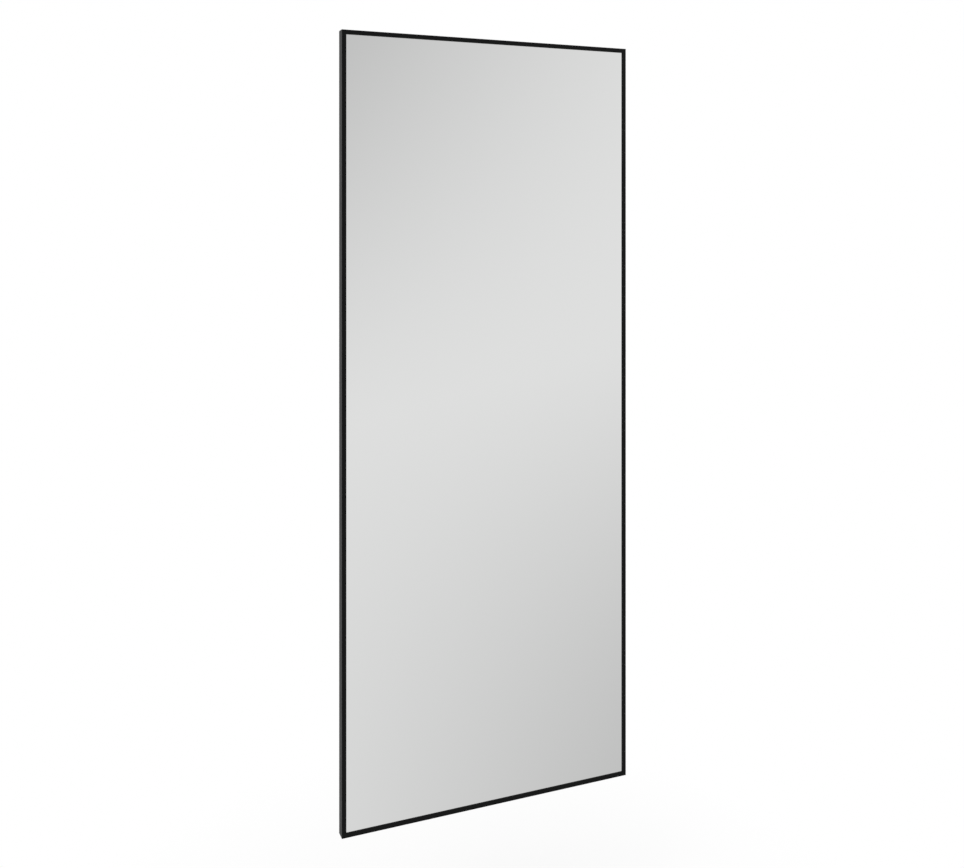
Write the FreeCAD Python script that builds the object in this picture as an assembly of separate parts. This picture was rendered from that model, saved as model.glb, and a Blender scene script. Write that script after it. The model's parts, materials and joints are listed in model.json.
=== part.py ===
"""Pull-out closet mirror: a framed mirror leaf that swivels on a carriage with ball-bearing slides.

Millimetres. +Z is up. The wardrobe's side panel lies against the plane y = 0, and everything
stands off it towards -Y. x = 0 is the middle of the leaf's width and z = 0 the middle of its height.
The carriage pulls out along -X, and the leaf then swivels about the post near its -X edge.
"""

import FreeCAD, Part

import math
import os

from FreeCAD import Vector

# Small repeated pieces are turned with flat sides, which keeps the model light
fastener_sides = 6
bumper_sides = 12
turned_sides = 24
ball_sides = 6
ball_ring_angle = 30.0

# How far a cutter runs past the face that it cuts
cutter_overrun = 1.0

# Mirror leaf
leaf_width = 480.0
leaf_height = 1200.0

# Frame extrusion: a front lip, an outer wall and a hollow chamber at the rear
frame_depth = 17.0
lip_width = 6.8
lip_thickness = 1.5
frame_wall = 1.6
frame_rear_width = 14.0
chamber_wall = 1.4
edge_round = 0.4

# Pane, from the lip backwards
glass_thickness = 4.0
film_thickness = 0.2
board_thickness = 3.0
seal_thickness = 1.0
seal_width = 8.0
pane_clearance = 0.4
board_setback = 1.5
glass_arris = 0.4

# Corner keys and their set screws
key_arm_length = 34.0
key_clearance = 0.1
key_screw_radius = 2.0
key_screw_offset = 22.0
key_screw_access_radius = 2.3

# Mounting bars and the screws that hold them to the wardrobe's side panel
bar_width = 25.0
bar_thickness = 2.0
mount_spacing_x = 320.0
panel_hole_radius = 2.75
panel_hole_beyond_slide = 48.0
bar_end_margin = 16.0
bar_corner_clip = 4.0

# Telescopic slides
slide_spacing = 608.0
slide_height = 45.0
slide_front_inset = 15.0
slide_rear_inset = 15.0
cabinet_steel = 1.2
middle_steel = 1.0
inner_steel = 1.0
cage_steel = 0.5
cage_gap = 0.3
outer_ball_radius = 2.5
inner_ball_radius = 2.0
race_clearance = 0.1
middle_ridge_bend = 1.0
inner_ridge_bend = 0.85
race_stagger_angle = 62.0
cabinet_hook_start = 155.0
cabinet_hook_end = 30.0
cabinet_waist_angle = 30.0
waist_bend_in = 1.5
waist_bend_out = 1.0
middle_trough_start = 235.0
middle_hook_end = 20.0
inner_race_start = 210.0
inner_race_end = 320.0
cage_flange_angle = 15.0
cage_bend = 0.6
cage_rim = 0.6
inner_cage_web_depth = 4.6
cage_length = 200.0
cage_end_margin = 12.0
balls_per_row = 5
ball_window_clearance = 0.15
slide_hole_length = 26.0
slide_hole_height = 9.0
middle_windows = 3
inner_windows = 3

# Closing stops in the rear ends of the cabinet members
stop_length = 9.5
stop_gap = 0.3
stop_half_height = 14.5
stop_depth = 6.5
stop_clip = 1.5

# Rivets between the slides and the bars
rivet_radius = 2.0
rivet_head_radius = 3.2
rivet_spacing = 18.0

# Pivot post
post_radius = 8.0
post_wall = 1.5
post_drop = 80.0
pivot_inset = 16.0

# Post brackets, which look like hinge leaves with a knuckle round the post
knuckle_wall = 1.6
knuckle_height = 40.0
knuckle_standoff = 1.5
neck_width = 14.0
neck_front = 5.0
bracket_plate_length = 62.0
bracket_plate_thickness = 2.5
bracket_plate_clip = 5.0
grub_radius = 2.5
grub_below_face = 0.4

# Carriage screws, countersunk
carriage_screw_radius = 2.0
carriage_screw_head_radius = 4.0
carriage_screw_head_depth = 1.6
carriage_screw_tip = 2.5
carriage_screw_spacing_x = 30.0
carriage_screw_spacing_z = 16.0
carriage_screw_end_margin = 10.0

# Bushes, thrust washers and pins at the post's ends
bush_flange = 1.5
bush_length = 20.0
bush_play = 0.05
washer_thickness = 1.0
washer_radius = 7.6
axial_play = 0.1
pin_radius = 4.0
pin_head_radius = 6.5
pin_head_height = 2.5
pin_engagement = 18.0

# Pivot brackets on the leaf
swing_clearance = 0.4
ear_thickness = 3.0
ear_radius = 12.0
bracket_height = 42.0
bracket_edge_margin = 1.0
bracket_clip = 4.0
leaf_screw_radius = 2.0
leaf_screw_head_radius = 3.6
leaf_screw_head_height = 1.8
leaf_screw_crown_height = 0.9
leaf_screw_crown_radius = 2.6
leaf_screw_tip = 3.4
leaf_screw_offsets = (9.0, 22.0, 35.0)

# Rear tie bar, which joins the inner slide members and carries the catch and the bumpers
tie_bar_width = 30.0
tie_bar_thickness = 2.0
tie_bar_edge_margin = 2.0
tie_bar_overrun = 14.0

# Bumpers
bumper_spacing = 500.0
bumper_foot_radius = 7.0
bumper_nose_radius = 4.5
bumper_foot_height = 4.0
bumper_tip_height = 1.8
bumper_tip_radius = 3.0
bumper_gap = 0.3

# Magnetic catch
catch_height = 46.0
catch_width = 13.0
catch_wall = 2.0
catch_flange_thickness = 3.0
catch_flange_height = 66.0
catch_flange_clip = 4.0
catch_gap = 0.3
pole_thickness = 1.5
pole_proud = 0.5
magnet_height = 30.0
magnet_depth = 12.0
catch_screw_spacing = 56.0
strike_thickness = 1.5
strike_height = 44.0
strike_width = 12.0
strike_screw_spacing = 34.0

# Places that follow from the sizes above
half_width = leaf_width / 2
half_height = leaf_height / 2
slide_front_x = -half_width + slide_front_inset
slide_rear_x = half_width - slide_rear_inset
slide_length = slide_rear_x - slide_front_x
half_slide_spacing = slide_spacing / 2
pin_axis_x = -half_width + pivot_inset
post_end_z = half_height - post_drop
chamber_front = (
    lip_thickness + glass_thickness + film_thickness + board_thickness + seal_thickness
)
chamber_centre_u = (frame_wall + frame_rear_width - chamber_wall) / 2
ear_bottom_z = post_end_z + bush_flange + washer_thickness + axial_play

# Depths of the slide's sheet-metal webs behind one another, from the bar's face outwards
middle_web_depth = cabinet_steel + 2 * cage_gap + cage_steel + middle_steel / 2
outer_cage_web_depth = cabinet_steel + cage_gap + cage_steel / 2
outer_race_radius = outer_ball_radius + race_clearance
inner_race_radius = inner_ball_radius + race_clearance


def on_circle(centre, radius, degrees):
    """A point of the (depth, height) section plane at an angle round a centre."""
    angle = math.radians(degrees)
    return (centre[0] + radius * math.cos(angle), centre[1] + radius * math.sin(angle))


# Ball rows in the slide's section, as (depth, height) from the slide's centre line
cabinet_race_line = outer_race_radius + cabinet_steel / 2
trough_line = outer_race_radius + middle_steel / 2
middle_hook_line = inner_race_radius + middle_steel / 2
inner_race_line = inner_race_radius + inner_steel / 2
trough_heading = middle_trough_start + 90.0 - 360.0
outer_row = (
    middle_web_depth
    + middle_ridge_bend * (1 - math.sin(math.radians(trough_heading)))
    - trough_line * math.cos(math.radians(middle_trough_start)),
    slide_height / 2 - cabinet_race_line - cabinet_steel / 2,
)
inner_row = on_circle(outer_row, trough_line + middle_hook_line, -race_stagger_angle)
inner_race_exit = on_circle(inner_row, inner_race_line, inner_race_end)
inner_exit_heading = inner_race_end + 90.0 - 360.0
inner_web_depth = inner_race_exit[0] + inner_ridge_bend * (
    1 + math.sin(math.radians(inner_exit_heading))
)
slide_depth = inner_web_depth + inner_steel / 2

# Planes parallel to the side panel
bar_face_y = -bar_thickness
carriage_y = bar_face_y - slide_depth
knuckle_radius = post_radius + knuckle_wall
pin_axis_y = carriage_y - knuckle_standoff - knuckle_radius
leaf_rear_y = pin_axis_y - knuckle_radius - swing_clearance
leaf_front_y = leaf_rear_y - frame_depth
tie_bar_front_y = carriage_y - tie_bar_thickness
tie_bar_x = half_width - tie_bar_edge_margin - tie_bar_width / 2
stile_screw_x = half_width - chamber_centre_u

parts = {}


def block(x0, x1, y0, y1, z0, z1):
    """A box between two opposite corners, given in any order."""
    low = Vector(min(x0, x1), min(y0, y1), min(z0, z1))
    return Part.makeBox(abs(x1 - x0), abs(y1 - y0), abs(z1 - z0), low)


def rod(radius, start, end):
    """A round bar between two points."""
    along = end - start
    return Part.makeCylinder(radius, along.Length, start, along)


def turned(profile, origin, axis, sides):
    """A solid turned with flat sides from (distance along the axis, corner radius) points."""
    along = Vector(axis).normalize()
    side = along.cross(Vector(0, 0, 1) if abs(along.z) < 0.5 else Vector(1, 0, 0)).normalize()
    up = along.cross(side)
    rings = []
    for distance, radius in profile:
        centre = origin + along * distance
        ring = []
        for step in range(sides):
            angle = 2 * math.pi * (step + 0.5) / sides
            ring.append(centre + side * radius * math.cos(angle) + up * radius * math.sin(angle))
        rings.append(ring)
    faces = []
    for (_, radius), ring in zip(profile, rings):
        if radius > 0 and ring in (rings[0], rings[-1]):
            faces.append(Part.Face(Part.makePolygon(ring + ring[:1])))
    for lower, upper in zip(rings, rings[1:]):
        for step in range(sides):
            following = (step + 1) % sides
            corners = [lower[step]]
            for corner in (lower[following], upper[following], upper[step]):
                if corner != corners[-1]:
                    corners.append(corner)
            if corners[-1] == corners[0]:
                corners.pop()
            faces.append(Part.Face(Part.makePolygon(corners + corners[:1])))
    solid = Part.Solid(Part.Shell(faces))
    if solid.Volume < 0:
        solid.reverse()
    return solid


def small_rod(radius, start, end):
    """A rod with flat sides, for a small screw or for the hole that takes it."""
    return turned([(0, radius), ((end - start).Length, radius)], start, end - start, fastener_sides)


def turned_bar(radius, start, end):
    """A rod with enough flat sides to pass for round, for the outsides of turned pieces."""
    return turned([(0, radius), ((end - start).Length, radius)], start, end - start, turned_sides)


def pan_head_screw(tip, axis, seat):
    """A screw with a crowned head, whose seat lies a distance along the axis from its tip."""
    profile = [
        (0, leaf_screw_radius),
        (seat, leaf_screw_radius),
        (seat, leaf_screw_head_radius),
        (seat + leaf_screw_crown_height, leaf_screw_head_radius),
        (seat + leaf_screw_head_height, leaf_screw_crown_radius),
    ]
    return turned(profile, tip, axis, fastener_sides)


def fuse_all(shapes):
    """One shape from several that touch or overlap."""
    whole = shapes[0]
    for shape in shapes[1:]:
        whole = whole.fuse(shape)
    return whole.removeSplitter()


def mirrored_z(shape):
    """The shape's mirror image in the plane z = 0."""
    return shape.mirror(Vector(0, 0, 0), Vector(0, 0, 1))


def clip_edges(solid, size, chosen):
    """Clip the corners of a solid along the edges that a test picks."""
    edges = [edge for edge in solid.Edges if chosen(edge)]
    return solid.makeChamfer(size, edges)


def runs_along(edge, axis):
    """Whether an edge is straight and parallel to one of the axes."""
    if not isinstance(edge.Curve, Part.Line):
        return False
    return abs(abs(edge.Curve.Direction.dot(axis)) - 1) < 1e-6


# ---------------------------------------------------------------- mirror leaf


def frame_section(z):
    """The frame's outline as a face: u is inwards from the edge, v backwards from the front."""
    outline = [
        (0, 0),
        (lip_width, 0),
        (lip_width, lip_thickness),
        (frame_wall, lip_thickness),
        (frame_wall, chamber_front),
        (frame_rear_width, chamber_front),
        (frame_rear_width, frame_depth),
        (0, frame_depth),
        (0, 0),
    ]
    return Part.Face(Part.makePolygon([Vector(u, v, z) for u, v in outline]))


def frame_rail(length):
    """One mitred rail along Z, with u along +X and v along +Y, centred on z = 0."""
    half = length / 2
    rail = frame_section(-half).extrude(Vector(0, 0, length))
    front_edges = [
        edge
        for edge in rail.Edges
        if runs_along(edge, Vector(0, 0, 1))
        and edge.CenterOfMass.y < 1e-6
    ]
    rail = rail.makeFillet(edge_round, front_edges)
    chamber = block(
        frame_wall,
        frame_rear_width - chamber_wall,
        chamber_front + chamber_wall,
        frame_depth - chamber_wall,
        -half,
        half,
    )
    rail = rail.cut(chamber)
    envelope = Part.Face(
        Part.makePolygon(
            [
                Vector(0, 0, -half),
                Vector(frame_rear_width, 0, -half + frame_rear_width),
                Vector(frame_rear_width, 0, half - frame_rear_width),
                Vector(0, 0, half),
                Vector(0, 0, -half),
            ]
        )
    ).extrude(Vector(0, frame_depth, 0))
    return rail.common(envelope)


def place_rail(rail, turn, corner_x, corner_z):
    """Turn a rail about Y and move its outer edge to the leaf's."""
    placed = rail.copy()
    placed.rotate(Vector(0, 0, 0), Vector(0, 1, 0), turn)
    placed.translate(Vector(corner_x, leaf_front_y, corner_z))
    return placed


def corner_signs():
    """The four corners of the leaf as signs of x and z."""
    return [(-1, 1), (1, 1), (-1, -1), (1, -1)]


def key_screw_places():
    """Points of the chamber's middle where a set screw crosses it."""
    places = []
    for sx, sz in corner_signs():
        rail_x = sx * (half_width - key_screw_offset)
        rail_z = sz * (half_height - chamber_centre_u)
        stile_x = sx * (half_width - chamber_centre_u)
        stile_z = sz * (half_height - key_screw_offset)
        places.append((rail_x, rail_z))
        places.append((stile_x, stile_z))
    return places


chamber_rear_y = leaf_rear_y - chamber_wall
chamber_front_y = leaf_front_y + chamber_front + chamber_wall


def build_frame():
    """Four mitred rails with access holes for the set screws and pilot holes for the brackets."""
    stile = frame_rail(leaf_height)
    rail = frame_rail(leaf_width)
    # Each rail is turned about Y, so v always points backwards.
    placed = {
        "frame_left_stile": place_rail(stile, 0, -half_width, 0),
        "frame_right_stile": place_rail(stile, 180, half_width, 0),
        "frame_top_rail": place_rail(rail, 90, 0, half_height),
        "frame_bottom_rail": place_rail(rail, -90, 0, -half_height),
    }
    holes = []
    for x, z in key_screw_places():
        holes.append(rear_wall_hole(x, z, key_screw_access_radius))
    for x, z in pivot_screw_places() + strike_screw_places():
        holes.append(rear_wall_hole(x, z, leaf_screw_radius))
    cutter = Part.makeCompound(holes)
    for name, solid in placed.items():
        parts[name] = solid.cut(cutter)


def rear_wall_hole(x, z, radius):
    """The space of a hole through the chamber's rear wall."""
    start = Vector(x, leaf_rear_y + cutter_overrun, z)
    end = Vector(x, chamber_rear_y - cutter_overrun, z)
    return small_rod(radius, start, end)


def build_pane():
    """Glass with its film, the backing board and the seals behind it."""
    reach = frame_wall + pane_clearance
    glass_front = leaf_front_y + lip_thickness
    glass_rear = glass_front + glass_thickness
    film_rear = glass_rear + film_thickness
    board_rear = film_rear + board_thickness
    glass = block(
        -half_width + reach,
        half_width - reach,
        glass_front,
        glass_rear,
        -half_height + reach,
        half_height - reach,
    )
    front_edges = [edge for edge in glass.Edges if abs(edge.CenterOfMass.y - glass_front) < 1e-6]
    parts["mirror_glass"] = glass.makeChamfer(glass_arris, front_edges)
    film_reach = reach + pane_clearance
    parts["safety_film"] = block(
        -half_width + film_reach,
        half_width - film_reach,
        glass_rear,
        film_rear,
        -half_height + film_reach,
        half_height - film_reach,
    )
    board_reach = reach + board_setback
    parts["backing_board"] = block(
        -half_width + board_reach,
        half_width - board_reach,
        film_rear,
        board_rear,
        -half_height + board_reach,
        half_height - board_reach,
    )
    strips = []
    long_reach = half_height - board_reach
    wide_reach = half_width - board_reach
    for side in (-1, 1):
        strips.append(
            block(
                side * wide_reach,
                side * (wide_reach - seal_width),
                board_rear,
                board_rear + seal_thickness,
                -long_reach,
                long_reach,
            )
        )
        strips.append(
            block(
                -wide_reach + seal_width,
                wide_reach - seal_width,
                board_rear,
                board_rear + seal_thickness,
                side * long_reach,
                side * (long_reach - seal_width),
            )
        )
    parts["glazing_seals"] = Part.makeCompound(strips)


def build_corner_keys():
    """L-shaped keys that join the mitres, and the set screws that lock them."""
    keys = []
    inner_u = frame_wall + key_clearance
    outer_u = frame_rear_width - chamber_wall - key_clearance
    for sx, sz in corner_signs():
        edge_x = sx * half_width
        edge_z = sz * half_height
        rail_arm = block(
            edge_x - sx * inner_u,
            edge_x - sx * key_arm_length,
            chamber_rear_y - key_clearance,
            chamber_front_y + key_clearance,
            edge_z - sz * inner_u,
            edge_z - sz * outer_u,
        )
        stile_arm = block(
            edge_x - sx * inner_u,
            edge_x - sx * outer_u,
            chamber_rear_y - key_clearance,
            chamber_front_y + key_clearance,
            edge_z - sz * inner_u,
            edge_z - sz * key_arm_length,
        )
        keys.append(fuse_all([rail_arm, stile_arm]))
    screws = []
    for x, z in key_screw_places():
        start = Vector(x, chamber_rear_y - key_clearance, z)
        end = Vector(x, chamber_front_y, z)
        screws.append(small_rod(key_screw_radius, start, end))
    holes = Part.makeCompound(
        [
            small_rod(key_screw_radius, Vector(x, leaf_rear_y, z), Vector(x, leaf_front_y, z))
            for x, z in key_screw_places()
        ]
    )
    parts["corner_keys"] = Part.makeCompound([key.cut(holes) for key in keys])
    parts["corner_set_screws"] = Part.makeCompound(screws)


# ------------------------------------------------------------ pivot and strike


def pivot_screw_places():
    """Screw places of both pivot brackets on the left stile."""
    places = []
    for offset in leaf_screw_offsets:
        places.append((-stile_screw_x, ear_bottom_z + offset))
        places.append((-stile_screw_x, -ear_bottom_z - offset))
    return places


def strike_screw_places():
    """Screw places of the strike plate on the right stile."""
    half = strike_screw_spacing / 2
    return [(stile_screw_x, half), (stile_screw_x, -half)]


def leaf_screw(x, z, seat_y):
    """A pan-head screw from behind into the frame's chamber."""
    tip_y = chamber_rear_y - leaf_screw_tip
    return pan_head_screw(Vector(x, tip_y, z), Vector(0, 1, 0), seat_y - tip_y)


def build_upper_pivot_bracket():
    """An angle bracket: a plate on the stile and an ear over the post's end."""
    left = -half_width + bracket_edge_margin
    right = pin_axis_x + ear_radius
    plate = block(
        left,
        right,
        leaf_rear_y,
        leaf_rear_y + ear_thickness,
        ear_bottom_z,
        ear_bottom_z + bracket_height,
    )
    top = ear_bottom_z + bracket_height
    plate = clip_edges(
        plate,
        bracket_clip,
        lambda edge: runs_along(edge, Vector(0, 1, 0)) and abs(edge.CenterOfMass.z - top) < 1e-6,
    )
    ear_top = ear_bottom_z + ear_thickness
    ear = block(pin_axis_x - ear_radius, right, leaf_rear_y, pin_axis_y, ear_bottom_z, ear_top)
    nose = turned_bar(
        ear_radius / math.cos(math.pi / turned_sides),
        Vector(pin_axis_x, pin_axis_y, ear_bottom_z),
        Vector(pin_axis_x, pin_axis_y, ear_top),
    )
    # The gusset keeps the ear square to the plate under the leaf's weight.
    gusset_reach = ear_radius
    gusset = Part.Face(
        Part.makePolygon(
            [
                Vector(right - ear_thickness, leaf_rear_y, ear_bottom_z),
                Vector(right - ear_thickness, leaf_rear_y + gusset_reach, ear_bottom_z),
                Vector(right - ear_thickness, leaf_rear_y, ear_bottom_z + 2 * gusset_reach),
                Vector(right - ear_thickness, leaf_rear_y, ear_bottom_z),
            ]
        )
    ).extrude(Vector(ear_thickness, 0, 0))
    leaf = block(left, right, leaf_front_y, leaf_rear_y, ear_bottom_z, ear_top)
    bracket = fuse_all([plate, ear, nose.cut(leaf), gusset])
    pin_hole = rod(
        pin_radius,
        Vector(pin_axis_x, pin_axis_y, ear_bottom_z - cutter_overrun),
        Vector(pin_axis_x, pin_axis_y, ear_top + cutter_overrun),
    )
    bracket = bracket.cut(pin_hole)
    for offset in leaf_screw_offsets:
        start = Vector(-stile_screw_x, leaf_rear_y, ear_bottom_z + offset)
        end = start + Vector(0, ear_thickness + cutter_overrun, 0)
        bracket = bracket.cut(small_rod(leaf_screw_radius, start, end))
    return bracket


def build_upper_pivot_pin():
    """A headed pin through the ear, down into the post's bush."""
    ear_top = ear_bottom_z + ear_thickness
    head = turned_bar(
        pin_head_radius,
        Vector(pin_axis_x, pin_axis_y, ear_top),
        Vector(pin_axis_x, pin_axis_y, ear_top + pin_head_height),
    )
    shank = rod(
        pin_radius,
        Vector(pin_axis_x, pin_axis_y, ear_top),
        Vector(pin_axis_x, pin_axis_y, post_end_z - pin_engagement),
    )
    return head.fuse(shank)


def build_pivot():
    """Brackets, pins and screws that hang the leaf on the post."""
    bracket = build_upper_pivot_bracket()
    pin = build_upper_pivot_pin()
    parts["upper_pivot_bracket"] = bracket
    parts["lower_pivot_bracket"] = mirrored_z(bracket)
    parts["upper_pivot_pin"] = pin
    parts["lower_pivot_pin"] = mirrored_z(pin)
    seat = leaf_rear_y + ear_thickness
    screws = [leaf_screw(x, z, seat) for x, z in pivot_screw_places()]
    parts["pivot_bracket_screws"] = Part.makeCompound(screws)


def build_strike():
    """The steel plate on the right stile that the catch pulls on."""
    plate = block(
        stile_screw_x - strike_width / 2,
        stile_screw_x + strike_width / 2,
        leaf_rear_y,
        leaf_rear_y + strike_thickness,
        -strike_height / 2,
        strike_height / 2,
    )
    screws = []
    face_y = leaf_rear_y + strike_thickness
    tip = face_y - chamber_rear_y + leaf_screw_tip
    profile = [
        (0, leaf_screw_head_radius),
        (strike_thickness, leaf_screw_radius),
        (tip, leaf_screw_radius),
    ]
    for x, z in strike_screw_places():
        screw = turned(profile, Vector(x, face_y, z), Vector(0, -1, 0), fastener_sides)
        plate = plate.cut(screw)
        screws.append(screw)
    parts["strike_plate"] = plate
    parts["strike_screws"] = Part.makeCompound(screws)


# --------------------------------------------------------------------- slides


class RolledStrip:
    """Half the section of a roll-formed strip, drawn as tangent runs and bends.

    The centre line starts on the slide's middle plane (height 0). Each run and bend adds an edge
    on both faces, half a thickness from the centre line, so every face stays parallel to it.
    """

    def __init__(self, thickness, depth, height=0.0, heading=90.0):
        self.half = thickness / 2
        self.point = (depth, height)
        self.heading = heading
        self.left = []
        self.right = []

    def side_point(self, point, heading, side):
        """The point of one face beside a centre-line point; side is +1 on the left."""
        normal = math.radians(heading + 90)
        return (
            point[0] + side * self.half * math.cos(normal),
            point[1] + side * self.half * math.sin(normal),
        )

    def run(self, length):
        """A straight stretch along the present heading."""
        end = on_circle(self.point, length, self.heading)
        for side, edges in ((1, self.left), (-1, self.right)):
            a = self.side_point(self.point, self.heading, side)
            b = self.side_point(end, self.heading, side)
            edges.append(Part.LineSegment(section_vector(a), section_vector(b)).toShape())
        self.point = end

    def bend(self, radius, degrees):
        """A bend of the centre line, anticlockwise when degrees is positive."""
        turn = 1 if degrees > 0 else -1
        centre = on_circle(self.point, radius, self.heading + 90 * turn)
        stations = []
        for share in (0.5, 1.0):
            heading = self.heading + degrees * share
            stations.append((on_circle(centre, radius, heading - 90 * turn), heading))
        for side, edges in ((1, self.left), (-1, self.right)):
            a = self.side_point(self.point, self.heading, side)
            b = self.side_point(stations[0][0], stations[0][1], side)
            c = self.side_point(stations[1][0], stations[1][1], side)
            arc = Part.Arc(section_vector(a), section_vector(b), section_vector(c))
            edges.append(arc.toShape())
        self.point = stations[1][0]
        self.heading = stations[1][1]

    def solid(self, start_x, length):
        """The whole section, both halves, as a bar from start_x along +X."""
        first = (self.left[0].firstVertex(True).Point, self.right[0].firstVertex(True).Point)
        last = (self.left[-1].lastVertex(True).Point, self.right[-1].lastVertex(True).Point)
        caps = [Part.LineSegment(*first).toShape(), Part.LineSegment(*last).toShape()]
        edges = Part.__sortEdges__(self.left + self.right + caps)
        half_bar = Part.Face(Part.Wire(edges)).extrude(Vector(length, 0, 0))
        half_bar.translate(Vector(start_x, 0, 0))
        return fuse_all([half_bar, mirrored_z(half_bar)])


def section_vector(point):
    """A (depth, height) point of the slide's section, placed behind the bar's face."""
    return Vector(0, bar_face_y - point[0], point[1])


def cabinet_section():
    """The member on the side panel, whose flanges hook over the outer balls."""
    strip = RolledStrip(cabinet_steel, cabinet_steel / 2)
    target = on_circle(outer_row, cabinet_race_line, cabinet_hook_start)
    heading_out = cabinet_hook_start - 90.0
    first = math.radians(cabinet_waist_angle)
    last = math.radians(heading_out)
    bends_depth = waist_bend_in * (1 - math.sin(first))
    bends_depth += waist_bend_out * (math.sin(last) - math.sin(first))
    bends_height = waist_bend_in * math.cos(first)
    bends_height += waist_bend_out * (math.cos(first) - math.cos(last))
    waist = (target[0] - cabinet_steel / 2 - bends_depth) / math.cos(first)
    strip.run(target[1] - bends_height - waist * math.sin(first))
    strip.bend(waist_bend_in, cabinet_waist_angle - 90.0)
    strip.run(waist)
    strip.bend(waist_bend_out, heading_out - cabinet_waist_angle)
    strip.bend(cabinet_race_line, cabinet_hook_end - cabinet_hook_start)
    return strip


def middle_section():
    """The member between: a trough under the outer balls, then a hook over the inner ones."""
    strip = RolledStrip(middle_steel, middle_web_depth)
    trough_start = on_circle(outer_row, trough_line, middle_trough_start)
    rise = middle_ridge_bend * math.cos(math.radians(trough_heading))
    strip.run(trough_start[1] - rise)
    strip.bend(middle_ridge_bend, trough_heading - 90.0)
    strip.bend(trough_line, 360.0 - race_stagger_angle - middle_trough_start)
    strip.bend(middle_hook_line, middle_hook_end - (180.0 - race_stagger_angle))
    return strip


def inner_section():
    """The member on the carriage, with a groove that carries the inner balls."""
    strip = RolledStrip(inner_steel, inner_web_depth)
    drop = inner_ridge_bend * math.cos(math.radians(inner_exit_heading))
    strip.run(inner_race_exit[1] - drop)
    strip.bend(inner_ridge_bend, inner_exit_heading + 90.0)
    strip.bend(inner_race_line, inner_race_start - inner_race_end)
    return strip


def cage_section(web_depth, row, lean, window_half):
    """A ball cage: a flat web with a flange that leads through the ball row's centre."""
    strip = RolledStrip(cage_steel, web_depth)
    slope = math.radians(lean)
    bend_depth = cage_bend * (1 - math.sin(slope))
    bend_height = cage_bend * math.cos(slope)
    flange = (row[0] - web_depth - bend_depth) / math.cos(slope)
    strip.run(row[1] - flange * math.sin(slope) - bend_height)
    strip.bend(cage_bend, lean - 90.0)
    strip.run(flange + window_half + cage_rim)
    return strip


def ball_xs():
    """Places of one row's balls along the cage, evenly spaced about x of the slide's middle."""
    middle = (slide_front_x + slide_rear_x) / 2
    reach = cage_length - 2 * cage_end_margin
    step = reach / (balls_per_row - 1)
    return [middle - reach / 2 + step * index for index in range(balls_per_row)]


def ball_row_centres(row):
    """Centres of one slide's two rows of balls."""
    depth, height = row
    y = bar_face_y - depth
    return [Vector(x, y, side * height) for side in (-1, 1) for x in ball_xs()]


def make_cage(web_depth, row, lean, ball_radius):
    """A cage with a square window for each ball, cut straight through its flange."""
    middle = (slide_front_x + slide_rear_x) / 2
    window_half = ball_radius + ball_window_clearance
    section = cage_section(web_depth, row, lean, window_half)
    cage = section.solid(middle - cage_length / 2, cage_length)
    slope = math.radians(lean)
    windows = []
    for centre in ball_row_centres(row):
        side = 1 if centre.z > 0 else -1
        along = Vector(window_half, 0, 0)
        across = Vector(0, -math.cos(slope), side * math.sin(slope)) * window_half
        through = Vector(0, math.sin(slope), side * math.cos(slope)) * (2 * cage_steel)
        corners = []
        for a, b in ((1, 1), (-1, 1), (-1, -1), (1, -1), (1, 1)):
            corners.append(centre - through + along * a + across * b)
        windows.append(Part.Face(Part.makePolygon(corners)).extrude(through * 2))
    return cage.cut(Part.makeCompound(windows))


def make_balls(row, radius):
    """One slide's balls, whose corners lie on the true ball."""
    ring_height = radius * math.sin(math.radians(ball_ring_angle))
    ring_radius = radius * math.cos(math.radians(ball_ring_angle))
    profile = [(-radius, 0), (-ring_height, ring_radius), (ring_height, ring_radius), (radius, 0)]
    return [
        turned(profile, centre, Vector(1, 0, 0), ball_sides) for centre in ball_row_centres(row)
    ]


def carriage_screw_xs():
    """Screw places along the inner member: two for the post bracket, one for the tie bar."""
    bracket_end = pin_axis_x + bracket_plate_length
    front = bracket_end - carriage_screw_end_margin
    return [front - carriage_screw_spacing_x, front, tie_screw_x()]


def tie_screw_x():
    """Where the tie bar is screwed to the inner members: the middle of what laps over them."""
    return (tie_bar_x - tie_bar_width / 2 + slide_rear_x) / 2


def carriage_screw_places(xs):
    """Screw places on one slide as (x, z) pairs."""
    half = carriage_screw_spacing_z / 2
    return [(x, side * half) for x in xs for side in (-1, 1)]


def rivet_places():
    """Rivets where each bar crosses a slide, as (x, z) from the slide's centre line."""
    half = rivet_spacing / 2
    return [(sx * mount_spacing_x / 2, sz * half) for sx in (-1, 1) for sz in (-1, 1)]


def rivet(x, z):
    """A rivet set flush in the slide's web and in the bar's far face."""
    profile = [
        (0, rivet_head_radius),
        (cabinet_steel, rivet_radius),
        (cabinet_steel + bar_thickness, rivet_head_radius),
    ]
    web_face = Vector(x, bar_face_y - cabinet_steel, z)
    return turned(profile, web_face, Vector(0, 1, 0), fastener_sides)


def slide_window(x):
    """A long hole in a web, with flat-sided round ends."""
    radius = slide_hole_height / 2
    half = slide_hole_length / 2 - radius
    corners = []
    for side in (-1, 1):
        for step in range(fastener_sides // 2 + 1):
            angle = math.radians(90 - side * 90) + math.pi * (2 * step / fastener_sides - 0.5)
            place = Vector(side * half, 0, 0)
            turn = Vector(math.cos(angle), 0, math.sin(angle)) * radius
            corners.append(place + turn)
    near = Vector(x, bar_face_y, 0)
    outline = [near + corner for corner in corners + corners[:1]]
    through = Vector(0, carriage_y - cutter_overrun - bar_face_y, 0)
    return Part.Face(Part.makePolygon(outline)).extrude(through)


def window_xs(count):
    """Evenly spaced places for the windows along a slide."""
    step = slide_length / count
    return [slide_front_x + step * (index + 0.5) for index in range(count)]


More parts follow.
